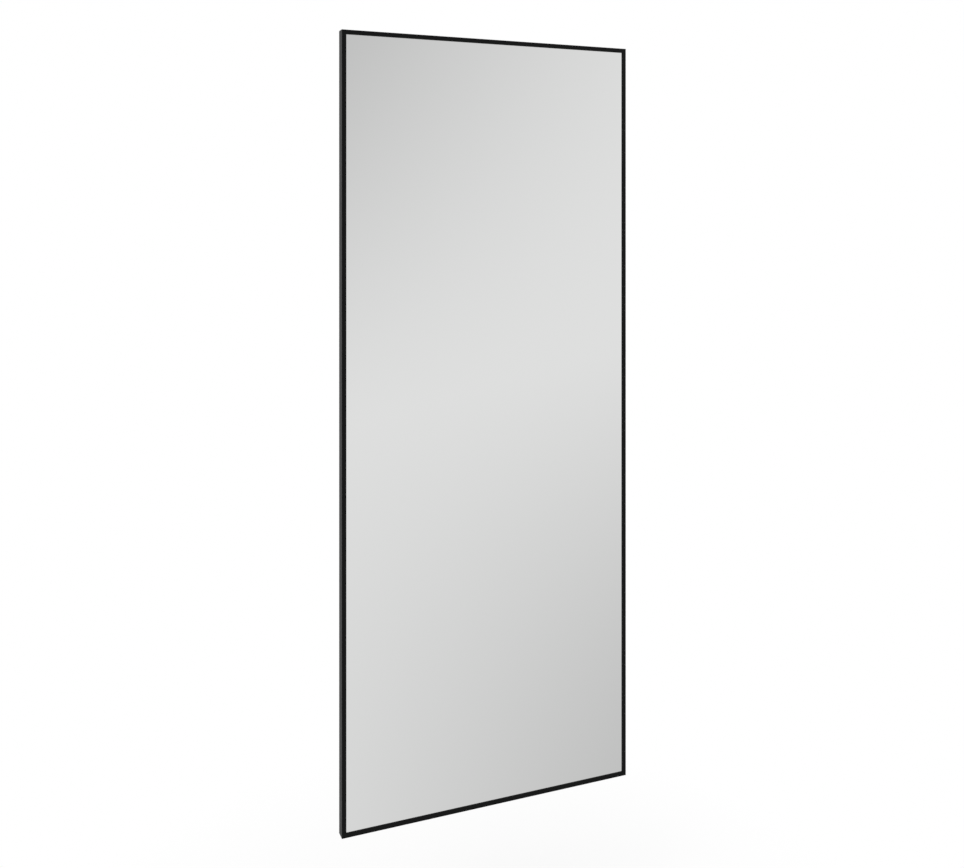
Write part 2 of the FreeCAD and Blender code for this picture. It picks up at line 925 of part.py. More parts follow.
def make_stop():
    """The closing stop in the cabinet member's rear end."""
    start = slide_rear_x + stop_gap
    face = bar_face_y - cabinet_steel
    stop = block(start, start + stop_length, face, face - stop_depth, -stop_half_height, stop_half_height)
    return clip_edges(
        stop,
        stop_clip,
        lambda edge: runs_along(edge, Vector(0, 0, 1)) and edge.CenterOfMass.y < face - stop_depth / 2,
    )


def build_slides():
    """Both telescopic slides, each with three members, two cages and four rows of balls."""
    cabinet_length = slide_length + stop_gap + stop_length
    cabinet = cabinet_section().solid(slide_front_x, cabinet_length)
    for x, z in rivet_places():
        cabinet = cabinet.cut(rivet(x, z))
    middle = middle_section().solid(slide_front_x, slide_length)
    for x in window_xs(middle_windows):
        middle = middle.cut(slide_window(x))
    inner = inner_section().solid(slide_front_x, slide_length)
    for x in window_xs(inner_windows):
        inner = inner.cut(slide_window(x))
    for x, z in carriage_screw_places(carriage_screw_xs()):
        start = Vector(x, carriage_y - cutter_overrun, z)
        end = Vector(x, carriage_y + inner_steel + cutter_overrun, z)
        inner = inner.cut(small_rod(carriage_screw_radius, start, end))
    outer_cage = make_cage(outer_cage_web_depth, outer_row, cage_flange_angle, outer_ball_radius)
    inner_cage = make_cage(inner_cage_web_depth, inner_row, 0.0, inner_ball_radius)
    single = {
        "cabinet_member": cabinet,
        "middle_member": middle,
        "inner_member": inner,
        "outer_ball_cage": outer_cage,
        "inner_ball_cage": inner_cage,
    }
    for prefix, side in (("upper", 1), ("lower", -1)):
        for name, shape in single.items():
            parts[prefix + "_" + name] = raised(shape, side)
    outer_balls = []
    inner_balls = []
    stops = []
    rivets = []
    for side in (1, -1):
        outer_balls += [raised(ball, side) for ball in make_balls(outer_row, outer_ball_radius)]
        inner_balls += [raised(ball, side) for ball in make_balls(inner_row, inner_ball_radius)]
        stops.append(raised(make_stop(), side))
        rivets += [raised(rivet(x, z), side) for x, z in rivet_places()]
    parts["outer_balls"] = Part.makeCompound(outer_balls)
    parts["inner_balls"] = Part.makeCompound(inner_balls)
    parts["slide_closing_stops"] = Part.makeCompound(stops)
    parts["slide_rivets"] = Part.makeCompound(rivets)


def raised(shape, side):
    """A copy of a shape, moved from z = 0 to the upper (+1) or lower (-1) slide."""
    copy = shape.copy()
    copy.translate(Vector(0, 0, side * half_slide_spacing))
    return copy


def build_mounting_bars():
    """Two flat bars that hold the slides apart and are screwed to the side panel."""
    hole_z = half_slide_spacing + panel_hole_beyond_slide
    half_bar = hole_z + bar_end_margin
    for name, side in (("front_mounting_bar", -1), ("rear_mounting_bar", 1)):
        x = side * mount_spacing_x / 2
        bar = block(x - bar_width / 2, x + bar_width / 2, 0, bar_face_y, -half_bar, half_bar)
        bar = clip_edges(bar, bar_corner_clip, lambda edge: runs_along(edge, Vector(0, 1, 0)))
        for sz in (-1, 1):
            start = Vector(x, cutter_overrun, sz * hole_z)
            end = Vector(x, bar_face_y - cutter_overrun, sz * hole_z)
            bar = bar.cut(rod(panel_hole_radius, start, end))
        for slide in (1, -1):
            for rivet_x, z in rivet_places():
                bar = bar.cut(raised(rivet(rivet_x, z), slide))
        parts[name] = bar


# ------------------------------------------------------------------- carriage


def countersunk_screw(x, z, face_y, shank_length):
    """A screw with a flat head flush with the face, pointing towards +Y."""
    profile = [
        (0, carriage_screw_head_radius),
        (carriage_screw_head_depth, carriage_screw_radius),
        (shank_length, carriage_screw_radius),
    ]
    return turned(profile, Vector(x, face_y, z), Vector(0, 1, 0), fastener_sides)


def make_post_bracket():
    """A plate on the inner member with a knuckle that clamps the post."""
    half = knuckle_height / 2
    plate_end = pin_axis_x + bracket_plate_length
    plate_front = carriage_y - bracket_plate_thickness
    plate = block(pin_axis_x, plate_end, carriage_y, plate_front, -half, half)
    plate = clip_edges(
        plate,
        bracket_plate_clip,
        lambda edge: runs_along(edge, Vector(0, 1, 0)) and edge.CenterOfMass.x > plate_end - 1e-6,
    )
    neck = block(
        pin_axis_x,
        pin_axis_x + neck_width,
        carriage_y,
        pin_axis_y - neck_front,
        -half,
        half,
    )
    neck_right = pin_axis_x + neck_width
    neck = clip_edges(
        neck,
        bracket_plate_thickness,
        lambda edge: runs_along(edge, Vector(0, 0, 1))
        and edge.CenterOfMass.x > neck_right - 1e-6
        and edge.CenterOfMass.y < pin_axis_y,
    )
    low = Vector(pin_axis_x, pin_axis_y, -half)
    high = Vector(pin_axis_x, pin_axis_y, half)
    bracket = fuse_all([plate, neck, turned_bar(knuckle_radius, low, high)])
    bracket = bracket.cut(rod(post_radius, low, high))
    start = Vector(pin_axis_x, pin_axis_y, 0)
    end = Vector(neck_right + cutter_overrun, pin_axis_y, 0)
    bracket = bracket.cut(small_rod(grub_radius, start, end))
    for x, z in carriage_screw_places(carriage_screw_xs()[:2]):
        bracket = bracket.cut(post_bracket_screw(x, z))
    return bracket


def post_bracket_screw(x, z):
    """A screw through the post bracket's plate into the inner member."""
    plate_front = carriage_y - bracket_plate_thickness
    length = bracket_plate_thickness + inner_steel + carriage_screw_tip
    return countersunk_screw(x, z, plate_front, length)


def build_post():
    """The post, its brackets, bushes and thrust washers."""
    low = Vector(pin_axis_x, pin_axis_y, -post_end_z)
    high = Vector(pin_axis_x, pin_axis_y, post_end_z)
    bore_radius = post_radius - post_wall
    parts["pivot_post"] = rod(post_radius, low, high).cut(rod(bore_radius, low, high))

    bracket = make_post_bracket()
    grubs = []
    screws = []
    for name, side in (("upper_post_bracket", 1), ("lower_post_bracket", -1)):
        parts[name] = raised(bracket, side)
        grubs.append(raised(grub_screw(), side))
        for x, z in carriage_screw_places(carriage_screw_xs()[:2]):
            screws.append(raised(post_bracket_screw(x, z), side))
    parts["post_grub_screws"] = Part.makeCompound(grubs)
    parts["post_bracket_screws"] = Part.makeCompound(screws)

    flange_top = post_end_z + bush_flange
    sleeve = turned_bar(bore_radius, high - Vector(0, 0, bush_length), high)
    flange = turned_bar(post_radius, high, Vector(pin_axis_x, pin_axis_y, flange_top))
    bore = rod(
        pin_radius + bush_play,
        high - Vector(0, 0, bush_length + cutter_overrun),
        Vector(pin_axis_x, pin_axis_y, ear_bottom_z),
    )
    bush = sleeve.fuse(flange).removeSplitter().cut(bore)
    parts["upper_post_bush"] = bush
    parts["lower_post_bush"] = mirrored_z(bush)

    washer_top = flange_top + washer_thickness
    washer = turned_bar(
        washer_radius,
        Vector(pin_axis_x, pin_axis_y, flange_top),
        Vector(pin_axis_x, pin_axis_y, washer_top),
    ).cut(bore)
    parts["upper_thrust_washer"] = washer
    parts["lower_thrust_washer"] = mirrored_z(washer)


def grub_screw():
    """A grub screw that bears on the post, with its tip shaped to the post's round."""
    face = Vector(pin_axis_x + neck_width - grub_below_face, pin_axis_y, 0)
    inside = Vector(pin_axis_x + post_radius - grub_radius, pin_axis_y, 0)
    low = Vector(pin_axis_x, pin_axis_y, -half_height)
    high = Vector(pin_axis_x, pin_axis_y, half_height)
    return small_rod(grub_radius, face, inside).cut(rod(post_radius, low, high))


def bumper_places():
    """Heights of the two bumpers."""
    return [-bumper_spacing / 2, bumper_spacing / 2]


def build_tie_bar():
    """The flat bar that joins the inner members' rear ends, with its bumpers."""
    half = half_slide_spacing + slide_height / 2 + tie_bar_overrun
    bar = block(
        tie_bar_x - tie_bar_width / 2,
        tie_bar_x + tie_bar_width / 2,
        carriage_y,
        tie_bar_front_y,
        -half,
        half,
    )
    bar = clip_edges(bar, bar_corner_clip, lambda edge: runs_along(edge, Vector(0, 1, 0)))
    screw_length = tie_bar_thickness + inner_steel + carriage_screw_tip
    screws = []
    for side in (1, -1):
        for x, z in carriage_screw_places([tie_screw_x()]):
            screw = raised(countersunk_screw(x, z, tie_bar_front_y, screw_length), side)
            bar = bar.cut(screw)
            screws.append(screw)
    for z in catch_screw_zs():
        start = Vector(stile_screw_x, carriage_y + cutter_overrun, z)
        end = Vector(stile_screw_x, tie_bar_front_y - cutter_overrun, z)
        bar = bar.cut(small_rod(leaf_screw_radius, start, end))
    parts["rear_tie_bar"] = bar
    parts["tie_bar_screws"] = Part.makeCompound(screws)

    height = tie_bar_front_y - leaf_rear_y - bumper_gap
    profile = [
        (0, bumper_foot_radius),
        (bumper_foot_height, bumper_nose_radius),
        (height - bumper_tip_height, bumper_nose_radius),
        (height, bumper_tip_radius),
    ]
    bumpers = []
    for z in bumper_places():
        foot = Vector(stile_screw_x, tie_bar_front_y, z)
        bumpers.append(turned(profile, foot, Vector(0, -1, 0), bumper_sides))
    parts["leaf_bumpers"] = Part.makeCompound(bumpers)


def catch_screw_zs():
    """Heights of the catch's screws."""
    return [-catch_screw_spacing / 2, catch_screw_spacing / 2]


def build_catch():
    """A magnetic catch: a case with a magnet between two steel pole plates."""
    x = stile_screw_x
    pole_tip_y = leaf_rear_y + strike_thickness + catch_gap
    case_front_y = pole_tip_y + pole_proud
    case = block(
        x - catch_width / 2,
        x + catch_width / 2,
        tie_bar_front_y,
        case_front_y,
        -catch_height / 2,
        catch_height / 2,
    )
    flange = block(
        x - catch_width / 2,
        x + catch_width / 2,
        tie_bar_front_y,
        tie_bar_front_y - catch_flange_thickness,
        -catch_flange_height / 2,
        catch_flange_height / 2,
    )
    flange = clip_edges(flange, catch_flange_clip, lambda edge: runs_along(edge, Vector(0, 1, 0)))
    case = fuse_all([case, flange])
    pole_half = magnet_height / 2 + pole_thickness
    pole_half_width = catch_width / 2 - catch_wall
    pocket_rear_y = case_front_y + magnet_depth + catch_wall
    pocket = block(
        x - pole_half_width,
        x + pole_half_width,
        case_front_y - cutter_overrun,
        pocket_rear_y,
        -pole_half,
        pole_half,
    )
    case = case.cut(pocket)
    seat = catch_flange_thickness + tie_bar_thickness
    screws = []
    for z in catch_screw_zs():
        tip = Vector(x, tie_bar_front_y + tie_bar_thickness, z)
        start = Vector(x, tie_bar_front_y + cutter_overrun, z)
        end = Vector(x, tie_bar_front_y - catch_flange_thickness - cutter_overrun, z)
        case = case.cut(small_rod(leaf_screw_radius, start, end))
        screws.append(pan_head_screw(tip, Vector(0, -1, 0), seat))
    parts["catch_case"] = case
    parts["catch_screws"] = Part.makeCompound(screws)
    poles = []
    for side in (-1, 1):
        poles.append(
            block(
                x - pole_half_width,
                x + pole_half_width,
                pole_tip_y,
                pocket_rear_y,
                side * magnet_height / 2,
                side * pole_half,
            )
        )
    parts["catch_pole_plates"] = Part.makeCompound(poles)
    parts["catch_magnet"] = block(
        x - pole_half_width,
        x + pole_half_width,
        pocket_rear_y - magnet_depth,
        pocket_rear_y,
        -magnet_height / 2,
        magnet_height / 2,
    )


def main():
    """Build every piece and write one STEP file for each."""
    build_frame()
    build_pane()
    build_corner_keys()
    build_pivot()
    build_strike()
    build_mounting_bars()
    build_slides()
    build_post()
    build_tie_bar()
    build_catch()
    os.makedirs("parts", exist_ok=True)
    for name, shape in parts.items():
        if not shape.isValid():
            raise ValueError("invalid shape: " + name)
        shape.exportStep("parts/" + name + ".step")
        print(name, len(shape.Solids), round(shape.Volume, 1))


main()
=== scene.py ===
"""Looks of the pull-out closet mirror, dressed over its packed construction model.

Everything is in metres, with +Z up. The leaf faces -Y, the wardrobe's side panel lies against
y = 0, and the carriage pulls out along -X. Sizes that follow the construction model are read from
the frame, so a changed model keeps its dressing.
"""

import json
import logging
import math
from dataclasses import dataclass, field, replace
from enum import Enum

import bmesh
import bpy
from mathutils import Matrix, Vector


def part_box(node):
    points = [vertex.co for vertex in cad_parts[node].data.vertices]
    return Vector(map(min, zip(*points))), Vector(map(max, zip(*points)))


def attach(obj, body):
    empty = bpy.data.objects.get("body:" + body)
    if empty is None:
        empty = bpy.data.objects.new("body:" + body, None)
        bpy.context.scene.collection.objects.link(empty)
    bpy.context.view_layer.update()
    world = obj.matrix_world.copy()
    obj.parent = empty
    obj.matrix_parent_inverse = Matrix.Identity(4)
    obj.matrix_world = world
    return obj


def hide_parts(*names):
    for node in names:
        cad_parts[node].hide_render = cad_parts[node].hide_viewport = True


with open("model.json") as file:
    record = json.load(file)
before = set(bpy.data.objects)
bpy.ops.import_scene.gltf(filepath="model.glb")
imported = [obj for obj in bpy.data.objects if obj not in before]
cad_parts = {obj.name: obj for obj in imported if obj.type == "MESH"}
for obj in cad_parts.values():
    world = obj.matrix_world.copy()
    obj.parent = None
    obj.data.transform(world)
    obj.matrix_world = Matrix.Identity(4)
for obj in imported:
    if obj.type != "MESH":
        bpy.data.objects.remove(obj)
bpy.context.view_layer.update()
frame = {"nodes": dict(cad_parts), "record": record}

log = logging.getLogger("closet_mirror")

IMAGE_WIDTH = 964
IMAGE_HEIGHT = 868

Colour = tuple[float, float, float]
Stretch = tuple[float, float, float]
Stops = tuple[tuple[float, float], ...]

WHITE = (1.0, 1.0, 1.0, 1.0)
UNSTRETCHED: Stretch = (1.0, 1.0, 1.0)

UP = Vector((0.0, 0.0, 1.0))
DOWN = Vector((0.0, 0.0, -1.0))
FORWARD = Vector((0.0, -1.0, 0.0))
REARWARD = Vector((0.0, 1.0, 0.0))
RIGHTWARD = Vector((1.0, 0.0, 0.0))


# ------------------------------------------------------------------ shader graph


class Wire:
    """A shader socket that takes part in arithmetic and adds the Math nodes for it."""

    def __init__(self, graph: "Graph", socket: bpy.types.NodeSocket) -> None:
        """Keep the socket and the graph that its nodes go into."""
        self.graph = graph
        self.socket = socket

    def math(
        self, operation: str, left: "Operand", right: "Operand" = 0.0, third: "Operand" = 0.0
    ) -> "Wire":
        """Add one Math node.

        Args:
            operation: The Math node's operation.
            left: Its first value or wire.
            right: Its second value or wire.
            third: Its third value or wire, for the operations that have one.

        Returns:
            The wire of its result.
        """
        inputs = {0: left, 1: right, 2: third}
        node = self.graph.node("ShaderNodeMath", {"operation": operation}, inputs)
        return Wire(self.graph, node.outputs[0])

    def __add__(self, other: "Operand") -> "Wire":
        """Sum."""
        return self.math("ADD", self, other)

    __radd__ = __add__

    def __sub__(self, other: "Operand") -> "Wire":
        """Difference."""
        return self.math("SUBTRACT", self, other)

    def __rsub__(self, other: "Operand") -> "Wire":
        """Difference from a number."""
        return self.math("SUBTRACT", other, self)

    def __mul__(self, other: "Operand") -> "Wire":
        """Product."""
        return self.math("MULTIPLY", self, other)

    __rmul__ = __mul__

    def __truediv__(self, other: "Operand") -> "Wire":
        """Quotient."""
        return self.math("DIVIDE", self, other)

    def __pow__(self, other: "Operand") -> "Wire":
        """Power."""
        return self.math("POWER", self, other)

    def between(self, low: float, high: float) -> "Wire":
        """Hold the value between two numbers."""
        return self.math("MINIMUM", self.math("MAXIMUM", self, low), high)

    def softly_between(self, low: float, high: float, blend: float) -> "Wire":
        """Hold the value between two numbers, easing into each over a blend."""
        return self.math("SMOOTH_MIN", self.math("SMOOTH_MAX", self, low, blend), high, blend)


Operand = Wire | float | tuple[float, ...]
Surface = dict[str, Operand]


class Graph:
    """A node tree with one way to add a node."""

    def __init__(self, tree: bpy.types.NodeTree) -> None:
        """Empty the tree."""
        self.tree = tree
        tree.nodes.clear()

    def node(
        self,
        kind: str,
        settings: dict[str, object] | None = None,
        inputs: dict[int | str, Operand] | None = None,
    ) -> bpy.types.Node:
        """Add a node.

        Args:
            kind: The node's type name.
            settings: Its properties, which are set first; "stops" are a ramp's (place, colour).
            inputs: Values or wires for its sockets, by name or number.

        Returns:
            The new node.
        """
        node = self.tree.nodes.new(kind)
        for name, value in (settings or {}).items():
            if name == "stops":
                self.set_stops(node, value)
            else:
                setattr(node, name, value)
        for name, value in (inputs or {}).items():
            socket = node.inputs[name]
            if isinstance(value, Wire):
                self.tree.links.new(value.socket, socket)
            else:
                socket.default_value = value
        return node

    @staticmethod
    def set_stops(node: bpy.types.Node, stops: Stops) -> None:
        """Give a ramp grey stops.

        Args:
            node: A colour ramp node.
            stops: Pairs of a place and a brightness.
        """
        elements = node.color_ramp.elements
        while len(elements) < len(stops):
            elements.new(1.0)
        for element, (place, level) in zip(elements, stops):
            element.position = place
            element.color = (level, level, level, 1.0)

    def wire(self, node: bpy.types.Node, output: int | str = 0) -> Wire:
        """The wire of one of a node's outputs."""
        return Wire(self, node.outputs[output])

    def place(self, stretch: Stretch = UNSTRETCHED) -> Wire:
        """Object coordinates in metres.

        Args:
            stretch: Scale of each axis; a small number draws a pattern out along it.

        Returns:
            The wire of the vector.
        """
        coordinates = self.wire(self.node("ShaderNodeTexCoord"), "Object")
        return self.wire(
            self.node("ShaderNodeMapping", None, {"Vector": coordinates, "Scale": stretch})
        )

    def noise(self, scale: float, detail: float, stretch: Stretch = UNSTRETCHED) -> Wire:
        """Soft random variation between 0 and 1, with so many patches to a metre."""
        inputs = {"Vector": self.place(stretch), "Scale": scale, "Detail": detail}
        return self.wire(self.node("ShaderNodeTexNoise", None, inputs))

    def ramp(self, factor: Wire, stops: Stops) -> Wire:
        """Map a pattern through grey stops."""
        return self.wire(self.node("ShaderNodeValToRGB", {"stops": stops}, {0: factor}))

    def along(self, direction: Wire, axis: Vector) -> Wire:
        """How far a direction points along an axis."""
        inputs = {0: direction, 1: tuple(axis)}
        return self.vector_math("DOT_PRODUCT", inputs)

    def length(self, vector: Wire) -> Wire:
        """The length of a vector."""
        return self.vector_math("LENGTH", {0: vector})

    def vector_math(self, operation: str, inputs: dict[int | str, Operand]) -> Wire:
        """The number that a Vector Math node gives."""
        node = self.node("ShaderNodeVectorMath", {"operation": operation}, inputs)
        return self.wire(node, "Value")

    def tint(self, factor: Operand, first: Colour, second: Colour) -> Wire:
        """Mix two colours through the Mix node's colour sockets, which have numbers.

        Args:
            factor: 0 for the first colour, 1 for the second.
            first: Linear red, green and blue.
            second: Linear red, green and blue.

        Returns:
            The wire of the colour.
        """
        node = self.node(
            "ShaderNodeMix",
            {"data_type": "RGBA"},
            {0: factor, 6: (*first, 1.0), 7: (*second, 1.0)},
        )
        return self.wire(node, 2)

    def bump(self, height: Wire, depth: float) -> Wire:
        """A normal from a height pattern, which is as many metres high where it is 1."""
        inputs = {"Height": height, "Strength": 1.0, "Distance": depth}
        return self.wire(self.node("ShaderNodeBump", None, inputs))


# ---------------------------------------------------------------------- finishes


@dataclass(frozen=True, kw_only=True)
class Layer:
    """One pattern of a finish, and how much it adds to shade, roughness and relief."""

    scale: float
    shade: float = 0.0
    rough: float = 0.0
    height: float = 0.0

    def pattern(self, graph: Graph) -> Wire:
        """The wire of the pattern, between 0 and 1. Each kind of layer has its own."""
        raise NotImplementedError(graph)


@dataclass(frozen=True, kw_only=True)
class Patches(Layer):
    """Random patches, so many to a metre. Stops send them through a grey ramp."""

    detail: float
    run: Stretch = UNSTRETCHED
    stops: Stops = ()

    def pattern(self, graph: Graph) -> Wire:
        """The patches, drawn out along their run."""
        noise = graph.noise(self.scale, self.detail, self.run)
        return graph.ramp(noise, self.stops) if self.stops else noise


@dataclass(frozen=True, kw_only=True)
class WireScreen(Layer):
    """The print of wires that cross along X and Z, so many to a metre."""

    def pattern(self, graph: Graph) -> Wire:
        """Weave two waves.

        Args:
            graph: Where the nodes go.

        Returns:
            The wire of the print.
        """
        split = graph.node("ShaderNodeSeparateXYZ", None, {0: graph.place()})
        turns = 2.0 * math.pi * self.scale
        across, along = graph.wire(split, "X") * turns, graph.wire(split, "Z") * turns
        return across.math("SINE", across) * along.math("SINE", along) * 0.5 + 0.5


@dataclass(frozen=True)
class Finish:
    """A surface finish: colour, roughness and the layers that break them up.

    The darkest places keep a share of the colour, which is the tone. The smoothest are smoother
    than the roughness by the amount of smoother. The depth is the relief's height in metres.
    """

    name: str
    colour: Colour
    roughness: float
    metallic: float = 0.0
    specular: float = 0.5
    smoother: float = 0.08
    tone: float = 1.0
    depth: float = 0.0

    @property
    def layers(self) -> tuple[Layer, ...]:
        """The layers. Each finish has its own."""
        raise NotImplementedError(self.name)

    def surface(self, graph: Graph) -> Surface:
        """Add up what the layers do.

        Args:
            graph: Where the nodes go.

        Returns:
            Values or wires by socket.
        """
        laid = [(layer, layer.pattern(graph)) for layer in self.layers]
        shade = sum(pattern * layer.shade for layer, pattern in laid if layer.shade)
        rough = sum(pattern * layer.rough for layer, pattern in laid if layer.rough)
        relief = sum(pattern * layer.height for layer, pattern in laid if layer.height)
        darkest = tuple(self.tone * value for value in self.colour)
        return {
            "Base Color": graph.tint(shade, darkest, self.colour),
            "Roughness": rough + (self.roughness - self.smoother),
            "Normal": graph.bump(relief, self.depth),
        }

    def material(self) -> bpy.types.Material:
        """Build the material.

        Returns:
            A material with one Principled shader, dressed by surface().
        """
        material = bpy.data.materials.new(self.name)
        material.use_nodes = True
        graph = Graph(material.node_tree)
        inputs = {"Metallic": self.metallic, "Specular IOR Level": self.specular}
        inputs.update(self.surface(graph))
        shader = graph.node("ShaderNodeBsdfPrincipled", None, inputs)
        graph.node("ShaderNodeOutputMaterial", None, {"Surface": graph.wire(shader)})
        material.diffuse_color = (*self.colour, 1.0)
        return material


@dataclass(frozen=True)
class SilveredGlass(Finish):
    """Float glass silvered behind: a clean reflection, with a breath of haze in patches."""

    haze: Layer = Patches(scale=9.0, detail=5.0, rough=0.012, stops=((0.45, 0.0), (0.8, 1.0)))

    def surface(self, graph: Graph) -> Surface:
        """One colour, and a roughness that only the haze adds to."""
        rough = self.haze.pattern(graph) * self.haze.rough + self.roughness
        return {"Base Color": (*self.colour, 1.0), "Roughness": rough}


@dataclass(frozen=True)
class PowderCoat(Finish):
    """Powder coat with its fine orange peel."""

    tone: float = 0.86
    depth: float = 0.00002

    @property
    def layers(self) -> tuple[Layer, ...]:
        """Peel, and clouds of slightly uneven colour and gloss."""
        return (
            Patches(scale=900.0, detail=2.0, rough=0.06, height=1.0),
            Patches(scale=22.0, detail=4.0, rough=0.1, shade=1.0),
        )


@dataclass(frozen=True)
class PlatedSteel(Finish):
    """Bright zinc plate, with the strip's rolling lines drawn out along one axis."""

    smoother: float = 0.12
    tone: float = 0.78
    depth: float = 0.000012
    rolled: Stretch = UNSTRETCHED

    @property
    def layers(self) -> tuple[Layer, ...]:
        """Rolling lines, soft spangle and dull patches."""
        return (
            Patches(scale=1500.0, detail=3.0, rough=0.1, shade=0.5, height=1.0, run=self.rolled),
            Patches(scale=160.0, detail=1.0, shade=0.5),
            Patches(scale=30.0, detail=5.0, rough=0.16, stops=((0.35, 0.0), (0.75, 1.0))),
        )


@dataclass(frozen=True)
class MouldedPlastic(Finish):
    """Moulded plastic or rubber with a spark-eroded texture."""

    smoother: float = 0.1
    tone: float = 0.88
    depth: float = 0.00002

    @property
    def layers(self) -> tuple[Layer, ...]:
        """Fine grain, and faint handling marks."""
        return (
            Patches(scale=1600.0, detail=2.0, rough=0.08, height=1.0),
            Patches(scale=45.0, detail=5.0, rough=0.14, shade=1.0),
        )


@dataclass(frozen=True)
class ScreenBackedBoard(Finish):
    """Hardboard whose rear face keeps the print of the press's wire screen."""

    tone: float = 0.62
    depth: float = 0.00009

    @property
    def layers(self) -> tuple[Layer, ...]:
        """The print over a fibrous, faintly clouded ground."""
        return (
            WireScreen(scale=625.0, shade=0.3, height=0.7),
            Patches(
                scale=420.0, detail=6.0, rough=0.15, shade=0.5, height=0.5, run=(1.0, 1.0, 0.35)
            ),
            Patches(scale=7.0, detail=5.0, shade=0.4),
        )


@dataclass(frozen=True)
class TurnedSteel(Finish):
    """Steel turned about a vertical axis."""

    tone: float = 0.8
    depth: float = 0.000006

    @property
    def layers(self) -> tuple[Layer, ...]:
        """Fine tool rings and a little unevenness."""
        return (
            Patches(
                scale=2600.0, detail=1.0, rough=0.1, shade=0.6, height=1.0, run=(0.05, 0.05, 1.0)
            ),
            Patches(scale=90.0, detail=3.0, rough=0.06, shade=0.4),
        )


ALONG_X: Stretch = (0.02, 1.0, 1.0)

FINISHES = (
    PowderCoat("frame_black", (0.0045, 0.0047, 0.0048), 0.36, specular=0.1),
    SilveredGlass("mirror_silver", (0.92, 0.925, 0.92), 0.0, metallic=1.0),
    MouldedPlastic("film_grey", (0.34, 0.35, 0.36), 0.5),
    ScreenBackedBoard("board_grey", (0.33, 0.31, 0.285), 0.78, specular=0.3),
    MouldedPlastic("rubber_black", (0.014, 0.014, 0.014), 0.62, specular=0.35),
    PlatedSteel("key_aluminium", (0.66, 0.67, 0.68), 0.42, metallic=1.0),
    PlatedSteel("screw_zinc", (0.5, 0.51, 0.53), 0.3, metallic=1.0),
    PlatedSteel("slide_zinc", (0.44, 0.45, 0.47), 0.42, metallic=1.0, rolled=ALONG_X),
    TurnedSteel("ball_steel", (0.68, 0.68, 0.69), 0.12, metallic=1.0),
    PowderCoat("post_black", (0.012, 0.012, 0.0125), 0.4, specular=0.4, depth=0.00006),
    MouldedPlastic("bush_acetal", (0.72, 0.71, 0.67), 0.42),
    MouldedPlastic("catch_plastic", (0.018, 0.018, 0.019), 0.48),
    MouldedPlastic("magnet_ferrite", (0.05, 0.05, 0.052), 0.55),
    TurnedSteel("pin_steel", (0.58, 0.58, 0.59), 0.24, metallic=1.0),
)


class Paintbox:
    """The finishes as materials, made when they are first asked for."""

    def __init__(self) -> None:
        """Start with no materials, and the finishes by the slot that they are named after."""
        self.finish_of = {finish.name: finish for finish in FINISHES}
        self.made: dict[str, bpy.types.Material] = {}

    def material(self, slot: str) -> bpy.types.Material:
        """Look up a slot's material, and make it the first time.

        Args:
            slot: The slot's name.

        Returns:
            The material.
        """
        if slot not in self.made:
            self.made[slot] = self.finish_of[slot].material()
        return self.made[slot]

    def dress_frame(self) -> None:
        """Give every node of the construction model the finish of its slot."""
        holders = [holder for node in frame["nodes"].values() for holder in node.material_slots]
        plain = {holder.material: holder.material.name for holder in holders}
        for material, slot in plain.items():
            material.name = "plain_" + slot
        for holder in holders:
            holder.material = self.material(plain[holder.material])
        for material in plain:
            bpy.data.materials.remove(material)


# ------------------------------------------------------------------------ studio


@dataclass
class ViewPoint:
    """The camera: level, turned a little to the right, with the view shifted down."""

    place: Vector = field(default_factory=lambda: Vector((-0.6282, -1.5720, 0.318)))
    turn: float = math.radians(21.94)
    focal_pixels: float = 1049.0
    horizon_row: float = 219.55
    sensor: float = 36.0

    def build(self) -> None:
        """Make the camera and hand it to the scene."""
        data = bpy.data.cameras.new("view")
        data.sensor_fit = "HORIZONTAL"
        data.sensor_width = self.sensor
        data.lens = self.sensor * self.focal_pixels / IMAGE_WIDTH
        data.shift_y = -(IMAGE_HEIGHT / 2 - self.horizon_row) / IMAGE_WIDTH
        camera = bpy.data.objects.new("view", data)
        camera.location = self.place
        camera.rotation_euler = (math.pi / 2, 0.0, -self.turn)
        bpy.context.scene.collection.objects.link(camera)
        bpy.context.scene.camera = camera


@dataclass
class Lamp:
    """A soft rectangular lamp that looks at a target."""

    name: str
    place: Vector
    target: Vector
    size: float
    power: float

    def build(self) -> None:
        """Make the lamp."""
        data = bpy.data.lights.new(self.name, "AREA")
        data.shape = "SQUARE"
        data.size = self.size
        data.energy = self.power
        lamp = bpy.data.objects.new(self.name, data)
        lamp.location = self.place
        lamp.rotation_mode = "QUATERNION"
        lamp.rotation_quaternion = (self.target - self.place).to_track_quat("-Z", "Y")
        bpy.context.scene.collection.objects.link(lamp)


